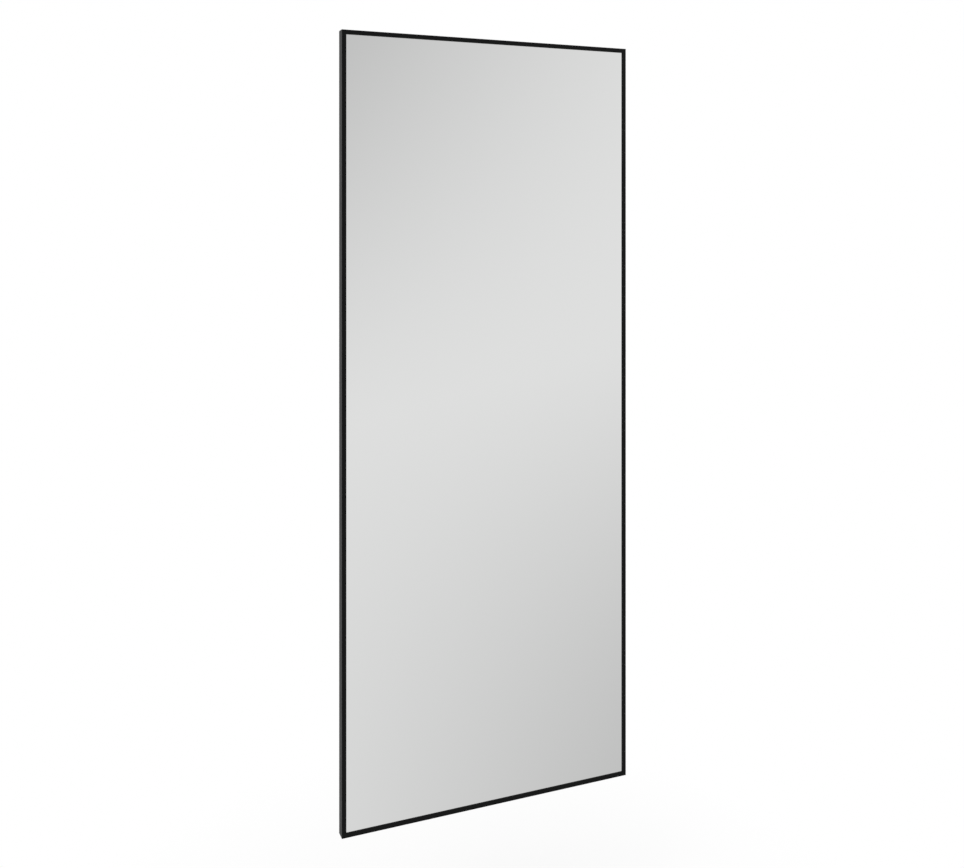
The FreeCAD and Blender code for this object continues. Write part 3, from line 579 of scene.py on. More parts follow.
@dataclass
class Studio:
    """A plain white room: surroundings, pale floor and soft lamps.

    To gloss the room in front is a soft grey with one brighter slanting band, which falls off above
    and below and twists along its run. Behind it is plainer, and leans and rises a little.
    """

    band_normal: Vector = field(default_factory=lambda: Vector((-0.1908, -0.2436, 0.9509)))
    band_along: Vector = field(default_factory=lambda: Vector((0.9532, 0.1855, 0.2388)))
    band_level: float = 0.7317
    fall_above: tuple[float, float] = (1.1171, 1.3375)
    fall_below: tuple[float, float] = (0.4362, 1.2415)
    band_twist: float = 1.7709
    mirror_share: float = 0.92
    dimmest: float = 0.46
    brightest: float = 0.8
    level_blend: float = 0.14
    rear_level: float = 0.72
    rear_lean: float = 0.25
    rear_rise: float = 0.15
    rear_start: float = -0.2
    rear_blend: float = 0.5
    plain_level: float = 0.62
    floor_z: float = -0.9
    floor_radius: float = 6.0
    floor_sides: int = 96
    floor_colour: Colour = (0.9, 0.9, 0.9)
    shade_radius: float = 0.75
    white_under: float = 0.6

    def build(self) -> None:
        """Make the surroundings, the floor and the lamps."""
        self.build_surroundings()
        self.build_floor()
        for lamp in self.lamps():
            lamp.build()

    def lamps(self) -> list[Lamp]:
        """Place the lamps, all above what the leaf reflects towards a viewer in front.

        Returns:
            The lamps, not built yet.
        """
        centre = Vector((0.0, 0.0, 0.0))
        return [
            Lamp("key", Vector((-1.9, -1.5, 1.9)), centre, size=1.3, power=26.0),
            Lamp("fill", Vector((2.2, -1.1, 1.5)), centre, size=1.5, power=14.0),
            Lamp("rear_left", Vector((-1.6, 1.9, 2.4)), centre, size=1.5, power=26.0),
            Lamp("rear_right", Vector((1.8, 2.0, 1.0)), centre, size=1.5, power=16.0),
        ]

    def front_room(self, graph: Graph, way: Wire) -> Wire:
        """How bright the room in front is to gloss.

        Args:
            graph: The world's graph.
            way: The direction that is looked in.

        Returns:
            The wire of the level.
        """
        off_band = graph.along(way, self.band_normal)
        on_band = graph.along(way, self.band_along)
        above = self.fall_above[0] * off_band.between(0.0, 1.0) ** self.fall_above[1]
        below = self.fall_below[0] * (0 - off_band).between(0.0, 1.0) ** self.fall_below[1]
        level = self.band_level - above - below + self.band_twist * off_band * on_band
        return level.softly_between(self.dimmest, self.brightest, self.level_blend)

    def build_surroundings(self) -> None:
        """White to the eye, the soft grey room to gloss, and a plain level to all else."""
        world = bpy.data.worlds.new("surroundings")
        world.use_nodes = True
        bpy.context.scene.world = world
        graph = Graph(world.node_tree)
        way = graph.wire(graph.node("ShaderNodeTexCoord"), "Generated")
        path = graph.node("ShaderNodeLightPath")
        seen = graph.wire(path, "Is Camera Ray")
        gloss = graph.wire(path, "Is Glossy Ray") + graph.wire(path, "Is Transmission Ray")
        gloss = gloss.between(0.0, 1.0)
        front = self.front_room(graph, way) / self.mirror_share
        lean = self.rear_lean * graph.along(way, RIGHTWARD)
        rear = self.rear_level + lean + self.rear_rise * graph.along(way, UP)
        rearward = (graph.along(way, REARWARD) - self.rear_start) / self.rear_blend
        rearward = rearward.between(0.0, 1.0)
        glossy = front * (1 - rearward) + rear * rearward
        strength = gloss * glossy + (1 - gloss) * (seen + (1 - seen) * self.plain_level)
        inputs = {"Color": WHITE, "Strength": strength}
        background = graph.node("ShaderNodeBackground", None, inputs)
        graph.node("ShaderNodeOutputWorld", None, {"Surface": graph.wire(background)})

    def build_floor(self) -> None:
        """A pale floor that keeps the shadow under the part and fades to white around it."""
        mesh = bmesh.new()
        bmesh.ops.create_circle(
            mesh, cap_ends=True, radius=self.floor_radius, segments=self.floor_sides
        )
        bmesh.ops.translate(mesh, verts=mesh.verts, vec=(0.0, 0.0, self.floor_z))
        floor = linked("floor", mesh)
        floor.data.materials.append(self.floor_material())
        floor.visible_glossy = False

    def floor_material(self) -> bpy.types.Material:
        """Pale and matt under the part, plain white to the eye further out.

        Returns:
            The material.
        """
        material = bpy.data.materials.new("pale_floor")
        material.use_nodes = True
        graph = Graph(material.node_tree)
        seen = graph.wire(graph.node("ShaderNodeLightPath"), "Is Camera Ray")
        reach = graph.length(graph.place(stretch=(1.0, 1.0, 0.0)))
        away = (reach / self.shade_radius).between(0.0, 1.0)
        share = seen * (away * (1 - self.white_under) + self.white_under)
        matt = graph.node("ShaderNodeBsdfDiffuse", None, {"Color": (*self.floor_colour, 1.0)})
        white = graph.node("ShaderNodeEmission", None, {"Color": WHITE, "Strength": 1.0})
        inputs = {0: share, 1: graph.wire(matt), 2: graph.wire(white)}
        mixed = graph.node("ShaderNodeMixShader", None, inputs)
        graph.node("ShaderNodeOutputMaterial", None, {"Surface": graph.wire(mixed)})
        return material


# -------------------------------------------------------------------- mesh tools


JOIN_DISTANCE = 1e-6
FLAT_TURN = math.radians(0.5)
SHARP_TURN = math.radians(50.0)
CREASE = 32.0
ROUND_STEPS = 32
QUARTER_STEPS = 5
EDGE_STEPS = 2
CUTTER_OVERRUN = 0.001
FACE_AREA_LEAD = 100

# The source's round holes have flat sides. A round cutter this much wider takes their corners in.
ROUND_COVER = 1.01

Point = tuple[float, float]
Outline = list[Point]


@dataclass(frozen=True)
class Solid:
    """The box round one separate solid of a construction node."""

    low: Vector
    high: Vector

    @property
    def centre(self) -> Vector:
        """The middle of the box."""
        return (self.low + self.high) / 2

    def face(self, heading: Vector) -> Vector:
        """The middle of the side that faces along an axis."""
        half = (self.high - self.low) / 2
        return self.centre + Vector([way * size for way, size in zip(heading, half)])

    def span(self, heading: Vector) -> float:
        """Its length along an axis."""
        return abs((self.high - self.low).dot(heading))


def merged_copy(node: str) -> bmesh.types.BMesh:
    """Copy a construction node's mesh with its loose triangles joined into whole faces.

    Args:
        node: The node's name.

    Returns:
        The joined mesh.
    """
    mesh = bmesh.new()
    mesh.from_mesh(frame["nodes"][node].data)
    bmesh.ops.remove_doubles(mesh, verts=mesh.verts, dist=JOIN_DISTANCE)
    bmesh.ops.dissolve_limit(mesh, angle_limit=FLAT_TURN, verts=mesh.verts, edges=mesh.edges)
    return mesh


def solids_of(node: str) -> list[Solid]:
    """Find the boxes of a construction node's separate solids.

    Args:
        node: The node's name.

    Returns:
        The boxes, in order of their lowest corners.
    """
    mesh = merged_copy(node)
    left = set(mesh.verts)
    solids = []
    while left:
        group = {left.pop()}
        frontier = list(group)
        while frontier:
            vert = frontier.pop()
            reached = {edge.other_vert(vert) for edge in vert.link_edges} - group
            group |= reached
            frontier.extend(reached)
        left -= group
        places = [vert.co for vert in group]
        low = Vector([min(place[axis] for place in places) for axis in range(3)])
        high = Vector([max(place[axis] for place in places) for axis in range(3)])
        solids.append(Solid(low, high))
    mesh.free()
    return sorted(solids, key=lambda solid: tuple(solid.low))


def quarter_round(start: Point, end: Point, hollow: bool = False) -> Outline:
    """Round an outline's corner.

    Args:
        start: Where the rounding begins, as (radius, height).
        end: Where it ends.
        hollow: Whether it sweeps inwards, as at the foot of a flare.

    Returns:
        The points after the start, the last of them at the end.
    """
    points = []
    for step in range(1, QUARTER_STEPS + 1):
        turn = math.pi / 2 * step / QUARTER_STEPS
        across, up = 1 - math.cos(turn), math.sin(turn)
        if hollow:
            across, up = up, across
        points.append(
            (start[0] + (end[0] - start[0]) * across, start[1] + (end[1] - start[1]) * up)
        )
    return points


def turned(outline: Outline, closed: bool = False) -> bmesh.types.BMesh:
    """Turn an outline about Z.

    Args:
        outline: Points as (radius, height).
        closed: Whether the last point joins the first, as in a ring or a tube.

    Returns:
        The turned mesh.
    """
    mesh = bmesh.new()
    verts = [mesh.verts.new((radius, 0.0, height)) for radius, height in outline]
    pairs = list(zip(verts, verts[1:])) + ([(verts[-1], verts[0])] if closed else [])
    edges = [mesh.edges.new(pair) for pair in pairs]
    bmesh.ops.spin(
        mesh,
        geom=verts + edges,
        cent=(0.0, 0.0, 0.0),
        axis=(0.0, 0.0, 1.0),
        angle=2 * math.pi,
        steps=ROUND_STEPS,
        use_merge=True,
    )
    bmesh.ops.remove_doubles(mesh, verts=mesh.verts, dist=JOIN_DISTANCE)
    bmesh.ops.recalc_face_normals(mesh, faces=mesh.faces)
    return mesh


def stand(mesh: bmesh.types.BMesh, solid: Solid, heading: Vector) -> bmesh.types.BMesh:
    """Put a shape that was made about Z, with its top at zero, in a solid's place.

    Args:
        mesh: The shape.
        solid: The solid, whose side at the heading takes the shape's top.
        heading: The direction that the top then faces.

    Returns:
        The same mesh.
    """
    turn = heading.to_track_quat("Z", "Y").to_matrix().to_4x4()
    place = Matrix.Translation(solid.face(heading))
    bmesh.ops.transform(mesh, matrix=place @ turn, verts=mesh.verts)
    return mesh


def gather(shapes: list[bmesh.types.BMesh]) -> bmesh.types.BMesh:
    """Put several shapes into one mesh.

    Args:
        shapes: The shapes, which are freed.

    Returns:
        The whole mesh.
    """
    whole = bmesh.new()
    for shape in shapes:
        data = bpy.data.meshes.new("shape")
        shape.to_mesh(data)
        shape.free()
        whole.from_mesh(data)
        bpy.data.meshes.remove(data)
    return whole


def linked(name: str, mesh: bmesh.types.BMesh) -> bpy.types.Object:
    """Put a mesh into the scene.

    Args:
        name: The object's name.
        mesh: Its mesh, which is freed.

    Returns:
        The object.
    """
    data = bpy.data.meshes.new(name)
    mesh.to_mesh(data)
    mesh.free()
    piece = bpy.data.objects.new(name, data)
    bpy.context.scene.collection.objects.link(piece)
    return piece


def cut_away(mesh: bmesh.types.BMesh, cutters: list[bmesh.types.BMesh]) -> bmesh.types.BMesh:
    """Cut shapes out of a mesh.

    Args:
        mesh: A closed mesh, which is freed.
        cutters: Closed meshes apart from one another, which are freed.

    Returns:
        What is left, as a new mesh.
    """
    blank = linked("blank", mesh)
    tool = linked("tool", gather(cutters))
    modifier = blank.modifiers.new("cut", "BOOLEAN")
    modifier.operation = "DIFFERENCE"
    modifier.solver = "EXACT"
    modifier.object = tool
    shaped = blank.evaluated_get(bpy.context.evaluated_depsgraph_get())
    result = bmesh.new()
    result.from_mesh(shaped.to_mesh())
    shaped.to_mesh_clear()
    for piece in (blank, tool):
        data = piece.data
        bpy.data.objects.remove(piece)
        bpy.data.meshes.remove(data)
    bmesh.ops.remove_doubles(result, verts=result.verts, dist=JOIN_DISTANCE)
    return result


def sharp_edges(mesh: bmesh.types.BMesh, shortest: float) -> list[bmesh.types.BMEdge]:
    """Find the outward corners of a mesh.

    Args:
        mesh: A closed mesh.
        shortest: Edges no longer than this are left out.

    Returns:
        The edges that stand out and turn by more than SHARP_TURN.
    """
    return [
        edge
        for edge in mesh.edges
        if edge.is_convex
        and edge.calc_face_angle(0.0) > SHARP_TURN
        and edge.calc_length() > shortest
    ]


def round_edges(
    mesh: bmesh.types.BMesh, edges: list[bmesh.types.BMEdge], size: float
) -> None:
    """Round some edges.

    Args:
        mesh: A closed mesh.
        edges: The edges to round.
        size: How far the rounding reaches from each edge.
    """
    bmesh.ops.bevel(
        mesh,
        geom=edges,
        offset=size,
        offset_type="OFFSET",
        segments=EDGE_STEPS,
        profile=0.5,
        affect="EDGES",
        material=-1,
        clamp_overlap=False,
        loop_slide=True,
    )


def slot_prism(length: float, height: float, depth: float) -> bmesh.types.BMesh:
    """A bar along Y with a long hole's outline, its ends round.

    Args:
        length: Its length along X, ends included.
        height: Its height along Z.
        depth: How far it reaches along Y, half to each side.

    Returns:
        The closed mesh.
    """
    mesh = bmesh.new()
    radius = height / 2
    bmesh.ops.create_circle(mesh, cap_ends=True, radius=radius, segments=ROUND_STEPS)
    half_step = Matrix.Rotation(math.pi / ROUND_STEPS, 4, "Z")
    bmesh.ops.transform(mesh, matrix=half_step, verts=mesh.verts)
    for vert in mesh.verts:
        vert.co.x += math.copysign(length / 2 - radius, vert.co.x)
    lifted = bmesh.ops.extrude_face_region(mesh, geom=list(mesh.faces))["geom"]
    tops = [item for item in lifted if isinstance(item, bmesh.types.BMVert)]
    bmesh.ops.translate(mesh, verts=tops, vec=(0.0, 0.0, depth))
    bmesh.ops.translate(mesh, verts=mesh.verts, vec=(0.0, 0.0, -depth / 2))
    upright = Matrix.Rotation(math.pi / 2, 4, "X")
    bmesh.ops.transform(mesh, matrix=upright, verts=mesh.verts)
    bmesh.ops.recalc_face_normals(mesh, faces=mesh.faces)
    return mesh


class Dresser:
    """Turns finished meshes into pieces that stand for construction nodes."""

    def __init__(self, paintbox: Paintbox) -> None:
        """Look up each node's body.

        Args:
            paintbox: Where the materials come from.
        """
        self.paintbox = paintbox
        bodies = frame["record"]["behaviour"]["bodies"]
        self.body_of = {node: body for body, nodes in bodies.items() for node in nodes}

    def settle(
        self, node: str, mesh: bmesh.types.BMesh, crease: float = CREASE, weigh: bool = False
    ) -> None:
        """Let a finished mesh stand for the construction node whose place it takes.

        Args:
            node: The node's name.
            mesh: The finished mesh, which is freed.
            crease: Edges that turn by more degrees than this stay crisp.
            weigh: Whether large flat faces keep their shading flat beside small bends.
        """
        for face in mesh.faces:
            face.smooth = True
        for edge in mesh.edges:
            edge.smooth = edge.calc_face_angle(0.0) < math.radians(crease)
        piece = linked(node + "_finished", mesh)
        # Normals kept from the construction mesh would hide the smooth shading.
        plain_normals = piece.data.attributes.get("custom_normal")
        if plain_normals:
            piece.data.attributes.remove(plain_normals)
        slot = frame["nodes"][node].material_slots[0].material.name
        piece.data.materials.clear()
        piece.data.materials.append(self.paintbox.material(slot))
        for face in piece.data.polygons:
            face.material_index = 0
        if weigh:
            modifier = piece.modifiers.new("flat_faces_lead", "WEIGHTED_NORMAL")
            modifier.mode = "FACE_AREA"
            modifier.weight = FACE_AREA_LEAD
            modifier.keep_sharp = True
        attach(piece, self.body_of[node])
        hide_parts(node)
        log.info("%s: %d faces", piece.name, len(piece.data.polygons))


# --------------------------------------------------------------------- fasteners


class HeadStyle(Enum):
    """How a screw's head is made."""

    PAN = "pan"
    COUNTERSUNK = "countersunk"
    HEADLESS = "headless"


class Recess(Enum):
    """What turns a screw."""

    CROSS = "cross"
    HEXAGON = "hexagon"


@dataclass(frozen=True)
class Screw:
    """A screw made about Z, with the top of its head at zero and its tip below.

    A pan head stands straight up to the shoulder's share of its height, and is rounded from there
    to a flat that is a little wider than the recess. A countersunk head has a fine raised rim, and
    a headless screw is chamfered at its top. The thread starts above the blunt tip, with its first
    crest that many pitches up, and leaves some pitches plain under the head.
    """

    head_radius: float
    head_height: float
    recess_radius: float
    recess_depth: float
    shank_radius: float = 0.002
    style: HeadStyle = HeadStyle.COUNTERSUNK
    recess: Recess = Recess.CROSS
    recess_taper: float = 0.62
    cross_arm: float = 0.24
    thread_pitch: float = 0.0008
    thread_depth: float = 0.00018
    first_crest: float = 1.5
    plain_pitches: int = 2
    tip_share: float = 0.8
    pan_shoulder: float = 0.55
    pan_flat: float = 1.15
    rim_inset: float = 0.96
    rim_rise: float = 0.00004
    chamfer: float = 0.86

    def top_outline(self) -> Outline:
        """Outline the head from the shank to the rim of its flat top.

        Returns:
            Points as (radius, height).
        """
        radius, height = self.head_radius, self.head_height
        if self.style is HeadStyle.PAN:
            shoulder = (radius, -self.pan_shoulder * height)
            flat = (self.recess_radius * self.pan_flat, 0.0)
            straight = [(self.shank_radius, -height), (radius, -height), shoulder]
            return straight + quarter_round(shoulder, flat)
        if self.style is HeadStyle.COUNTERSUNK:
            rim = radius * ROUND_COVER
            raised = (rim * self.rim_inset, self.rim_rise)
            return [(self.shank_radius, -height), (rim, 0.0), raised]
        return [(self.shank_radius, -height), (self.shank_radius * self.chamfer, 0.0)]

    def shank_outline(self, length: float) -> Outline:
        """Outline the thread from the tip's middle up to the head.

        Args:
            length: From the tip to the top of the head.

        Returns:
            Points as (radius, height).
        """
        root = self.shank_radius - self.thread_depth
        tip = (root * self.tip_share, -length)
        points = [(0.0, -length), tip, (root, self.thread_pitch - length)]
        count = int((length - self.head_height) / self.thread_pitch) - self.plain_pitches
        for turn in range(max(count, 0)):
            height = -length + self.thread_pitch * (turn + self.first_crest)
            points.append((self.shank_radius, height))
            points.append((root, height + self.thread_pitch / 2))
        return points

    def reach(self, angle: float) -> float:
        """How far the recess reaches from the axis.

        Args:
            angle: The direction about the axis.

        Returns:
            The distance.
        """
        if self.recess is Recess.HEXAGON:
            off = angle % (math.pi / 3) - math.pi / 6
            return self.recess_radius * math.cos(math.pi / 6) / math.cos(off)
        quarter = angle % (math.pi / 2)
        off = min(quarter, math.pi / 2 - quarter)
        arm = self.cross_arm * self.recess_radius
        if math.tan(off) < arm / self.recess_radius:
            return self.recess_radius
        return arm / math.sin(off)

    def made(self, length: float) -> bmesh.types.BMesh:
        """Make the screw.

        Args:
            length: From the tip to the top of the head.

        Returns:
            The closed mesh.
        """
        mesh = turned(self.shank_outline(length) + self.top_outline())
        rim = [edge for edge in mesh.edges if edge.is_boundary]
        for depth, taper in ((0.0, 1.0), (self.recess_depth, self.recess_taper)):
            pulled = bmesh.ops.extrude_edge_only(mesh, edges=rim)["geom"]
            for vert in (item for item in pulled if isinstance(item, bmesh.types.BMVert)):
                angle = math.atan2(vert.co.y, vert.co.x)
                reach = self.reach(angle) * taper
                vert.co.x, vert.co.y = reach * math.cos(angle), reach * math.sin(angle)
                vert.co.z -= depth
            rim = [item for item in pulled if isinstance(item, bmesh.types.BMEdge)]
            rim = [edge for edge in rim if edge.is_boundary]
        bmesh.ops.contextual_create(mesh, geom=rim)
        bmesh.ops.recalc_face_normals(mesh, faces=mesh.faces)
        return mesh


@dataclass(frozen=True)
class Fasteners:
    """The fasteners of one construction node, which all face the same way."""

    node: str
    heading: Vector

    def made(self, length: float) -> bmesh.types.BMesh:
        """One fastener about Z with its top at zero. Each kind has its own."""
        raise NotImplementedError(self.node)

    def hole(self, length: float) -> Outline:
        """The outline of one fastener's hole. Each kind has its own."""
        raise NotImplementedError(self.node)

    def build(self, dresser: Dresser) -> None:
        """Make each fastener in the place of its plain solid.

        Args:
            dresser: What settles the piece.
        """
        made = [
            stand(self.made(solid.span(self.heading)), solid, self.heading)
            for solid in solids_of(self.node)
        ]
        dresser.settle(self.node, gather(made))

    def bores(self) -> list[bmesh.types.BMesh]:
        """Make cutters for the holes that the fasteners fill or are reached through.

        Returns:
            One closed mesh for each fastener.
        """
        return [
            stand(turned(self.hole(solid.span(self.heading))), solid, self.heading)
            for solid in solids_of(self.node)
        ]


@dataclass(frozen=True)
class Screws(Fasteners):
    """Alike screws. Those sunk behind a wall are reached through a hole of the access radius."""

    screw: Screw
    access_radius: float = 0.0
    access_reach: float = 0.004

    def made(self, length: float) -> bmesh.types.BMesh:
        """One screw about Z with its head's top at zero."""
        return self.screw.made(length)

    def hole(self, length: float) -> Outline:
        """Outline one screw's hole.

        Args:
            length: From the screw's tip to the top of its head.

        Returns:
            Points as (radius, height above the screw's top).
        """
        if self.access_radius:
            radius, reach = self.access_radius * ROUND_COVER, self.access_reach
            return [(0.0, 0.0), (radius, 0.0), (radius, reach), (0.0, reach)]
        low = -(length + CUTTER_OVERRUN)
        shank = self.screw.shank_radius * ROUND_COVER
        points = [(0.0, low), (shank, low)]
        if self.screw.style is HeadStyle.COUNTERSUNK:
            rim = self.screw.head_radius * ROUND_COVER
            points += [(shank, -self.screw.head_height), (rim, 0.0), (rim, CUTTER_OVERRUN)]
        else:
            points.append((shank, CUTTER_OVERRUN))
        return points + [(0.0, CUTTER_OVERRUN)]


@dataclass(frozen=True)
class Rivets(Fasteners):
    """Rivets that hold a slide's web to a bar, flush on both sides and waisted between."""

    head_radius: float = 0.0032
    waist_radius: float = 0.002
    web_thickness: float = 0.0012
    dimple_radius: float = 0.0013
    dimple_depth: float = 0.0004
    dimple_floor: float = 0.7

    def flank(self, length: float) -> Outline:
        """Outline the side between the two faces.

        Args:
            length: From the slide's web to the bar's far face, which is at zero.

        Returns:
            Points as (radius, height), upwards.
        """
        head = self.head_radius * ROUND_COVER
        waist = self.waist_radius * ROUND_COVER
        return [(head, -length), (waist, self.web_thickness - length), (head, 0.0)]

    def dimple(self, height: float, inward: float) -> Outline:
        """Outline the set mark in a face, from its middle outwards.

        Args:
            height: Where the face lies.
            inward: Which way the metal lies from it, 1 or -1.

        Returns:
            Points as (radius, height).
        """
        floor = height + inward * self.dimple_depth
        edge = self.dimple_floor * self.dimple_radius
        return [(0.0, floor), (edge, floor), (self.dimple_radius, height)]

    def made(self, length: float) -> bmesh.types.BMesh:
        """One rivet about Z, with a set mark in both faces."""
        top = self.dimple(0.0, -1.0)[::-1]
        return turned(self.dimple(-length, 1.0) + self.flank(length) + top)

    def hole(self, length: float) -> Outline:
        """Outline the waisted hole that one rivet fills.

        Args:
            length: From one of the rivet's faces to the other.

        Returns:
            Points as (radius, height above the rivet's top).
        """
        head = self.head_radius * ROUND_COVER
        low, high = -length - CUTTER_OVERRUN, CUTTER_OVERRUN
        return [(0.0, low), (head, low), *self.flank(length), (head, high), (0.0, high)]


PLATE_SCREW = Screw(0.004, 0.0016, recess_radius=0.0021, recess_depth=0.0012)
STRIKE_SCREW = Screw(0.0036, 0.0015, recess_radius=0.0019, recess_depth=0.0011)
PAN_SCREW = Screw(
    0.0036, 0.0018, recess_radius=0.0019, recess_depth=0.0011, style=HeadStyle.PAN
)
SET_SCREW = Screw(
    0.002,
    0.0003,
    recess_radius=0.0011,
    recess_depth=0.0014,
    style=HeadStyle.HEADLESS,
    recess=Recess.HEXAGON,
)
GRUB_SCREW = replace(
    SET_SCREW, head_radius=0.0025, shank_radius=0.0025, recess_radius=0.0014, recess_depth=0.0016
)

SLIDE_RIVETS = Rivets("slide_rivets", REARWARD)
POST_BRACKET_SCREWS = Screws("post_bracket_screws", FORWARD, PLATE_SCREW)
POST_GRUB_SCREWS = Screws("post_grub_screws", RIGHTWARD, GRUB_SCREW)
TIE_BAR_SCREWS = Screws("tie_bar_screws", FORWARD, PLATE_SCREW)
CATCH_SCREWS = Screws("catch_screws", FORWARD, PAN_SCREW)
PIVOT_BRACKET_SCREWS = Screws("pivot_bracket_screws", REARWARD, PAN_SCREW)
STRIKE_SCREWS = Screws("strike_screws", REARWARD, STRIKE_SCREW)
CORNER_SET_SCREWS = Screws("corner_set_screws", REARWARD, SET_SCREW, access_radius=0.0023)


# ---------------------------------------------------------------- sub-assemblies


PLATE_EASE = 0.00025
THIN_PLATE_EASE = 0.0002
MOULDING_EASE = 0.0004
WINDOWS_TO_A_MEMBER = 3
NO_CREASE = 90.0
ENDS = (("upper", UP), ("lower", DOWN))

# The flat sides of the source's open holes are shorter than this, and are left as they are.
HOLE_SIDE = 0.0035


def all_bores(holes: list[Fasteners]) -> list[bmesh.types.BMesh]:
    """Cutters for the holes of several groups of fasteners."""
    return [cutter for group in holes for cutter in group.bores()]


@dataclass(frozen=True)
class SlideMember:
    """A roll-formed slide member, with round holes and round ends to its long windows."""

    node: str
    windows: int = 0
    window_length: float = 0.026
    window_height: float = 0.009
    window_reach: float = 0.02

    def build(self, dresser: Dresser, holes: list[Fasteners]) -> None:
        """Cut the windows and the fasteners' holes in a copy of the construction node."""
        mesh = cut_away(merged_copy(self.node), all_bores(holes) + self.window_cutters())
        dresser.settle(self.node, mesh, weigh=True)

    def window_cutters(self) -> list[bmesh.types.BMesh]:
        """Make the cutters for the windows, spread evenly along the member.

        Returns:
            One closed mesh for each window.
        """
        member = Solid(*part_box(self.node))
        length = self.window_length * ROUND_COVER
        height = self.window_height * ROUND_COVER
        cutters = []
        for index in range(self.windows):
            window = slot_prism(length, height, self.window_reach)
            place = member.centre
            place.x = member.low.x + member.span(RIGHTWARD) * (index + 0.5) / self.windows
            bmesh.ops.translate(window, verts=window.verts, vec=place)
            cutters.append(window)
        return cutters


@dataclass(frozen=True)
class EasedPiece:
    """A plate, bracket, bar or moulding with its edges eased and its screw holes round."""

    node: str
    ease: float = PLATE_EASE
    shortest: float = 0.0

    def build(self, dresser: Dresser, holes: list[Fasteners]) -> None:
        """Ease the outward edges of a copy of the construction node, apart from the shortest.

        Args:
            dresser: What settles the piece.
            holes: The fasteners that pass through the piece.
        """
        mesh = merged_copy(self.node)
        if holes:
            mesh = cut_away(mesh, all_bores(holes))
        round_edges(mesh, sharp_edges(mesh, self.shortest), self.ease)
        dresser.settle(self.node, mesh, weigh=True)


@dataclass(frozen=True)
class BallRows:
    """The polished balls of one pair of cages."""

    node: str
    subdivisions: int = 3

    def build(self, dresser: Dresser) -> None:
        """Put a true ball in the place of each plain one.

        Args:
            dresser: What settles the piece.
        """
        whole = bmesh.new()
        for solid in solids_of(self.node):
            bmesh.ops.create_icosphere(
                whole,
                subdivisions=self.subdivisions,
                radius=solid.span(RIGHTWARD) / 2,
                matrix=Matrix.Translation(solid.centre),
            )
        dresser.settle(self.node, whole, crease=NO_CREASE)


@dataclass
class WardrobeSide:
    """What stays on the wardrobe's side panel: bars, cabinet members, rivets and stops."""

    bars: tuple[str, ...] = ("front_mounting_bar", "rear_mounting_bar")
    members: tuple[str, ...] = ("upper_cabinet_member", "lower_cabinet_member")
    stops: str = "slide_closing_stops"

    def build(self, dresser: Dresser) -> None:
        """Build the bars, the members, the rivets and the closing stops.

        Args:
            dresser: What settles the pieces.
        """
        for bar in self.bars:
            EasedPiece(bar, shortest=HOLE_SIDE).build(dresser, [SLIDE_RIVETS])
        for member in self.members:
            SlideMember(member).build(dresser, [SLIDE_RIVETS])
        SLIDE_RIVETS.build(dresser)
        EasedPiece(self.stops, MOULDING_EASE).build(dresser, [])


@dataclass
class SlideRunners:
    """What runs between the fixed and the carried members: balls and middle members."""

    members: tuple[str, ...] = ("upper_middle_member", "lower_middle_member")
    rows: tuple[str, ...] = ("outer_balls", "inner_balls")

    def build(self, dresser: Dresser) -> None:
        """Build the middle members and the balls.

        Args:
            dresser: What settles the pieces.
        """
        for member in self.members:
            SlideMember(member, WINDOWS_TO_A_MEMBER).build(dresser, [])
        for row in self.rows:
            BallRows(row).build(dresser)


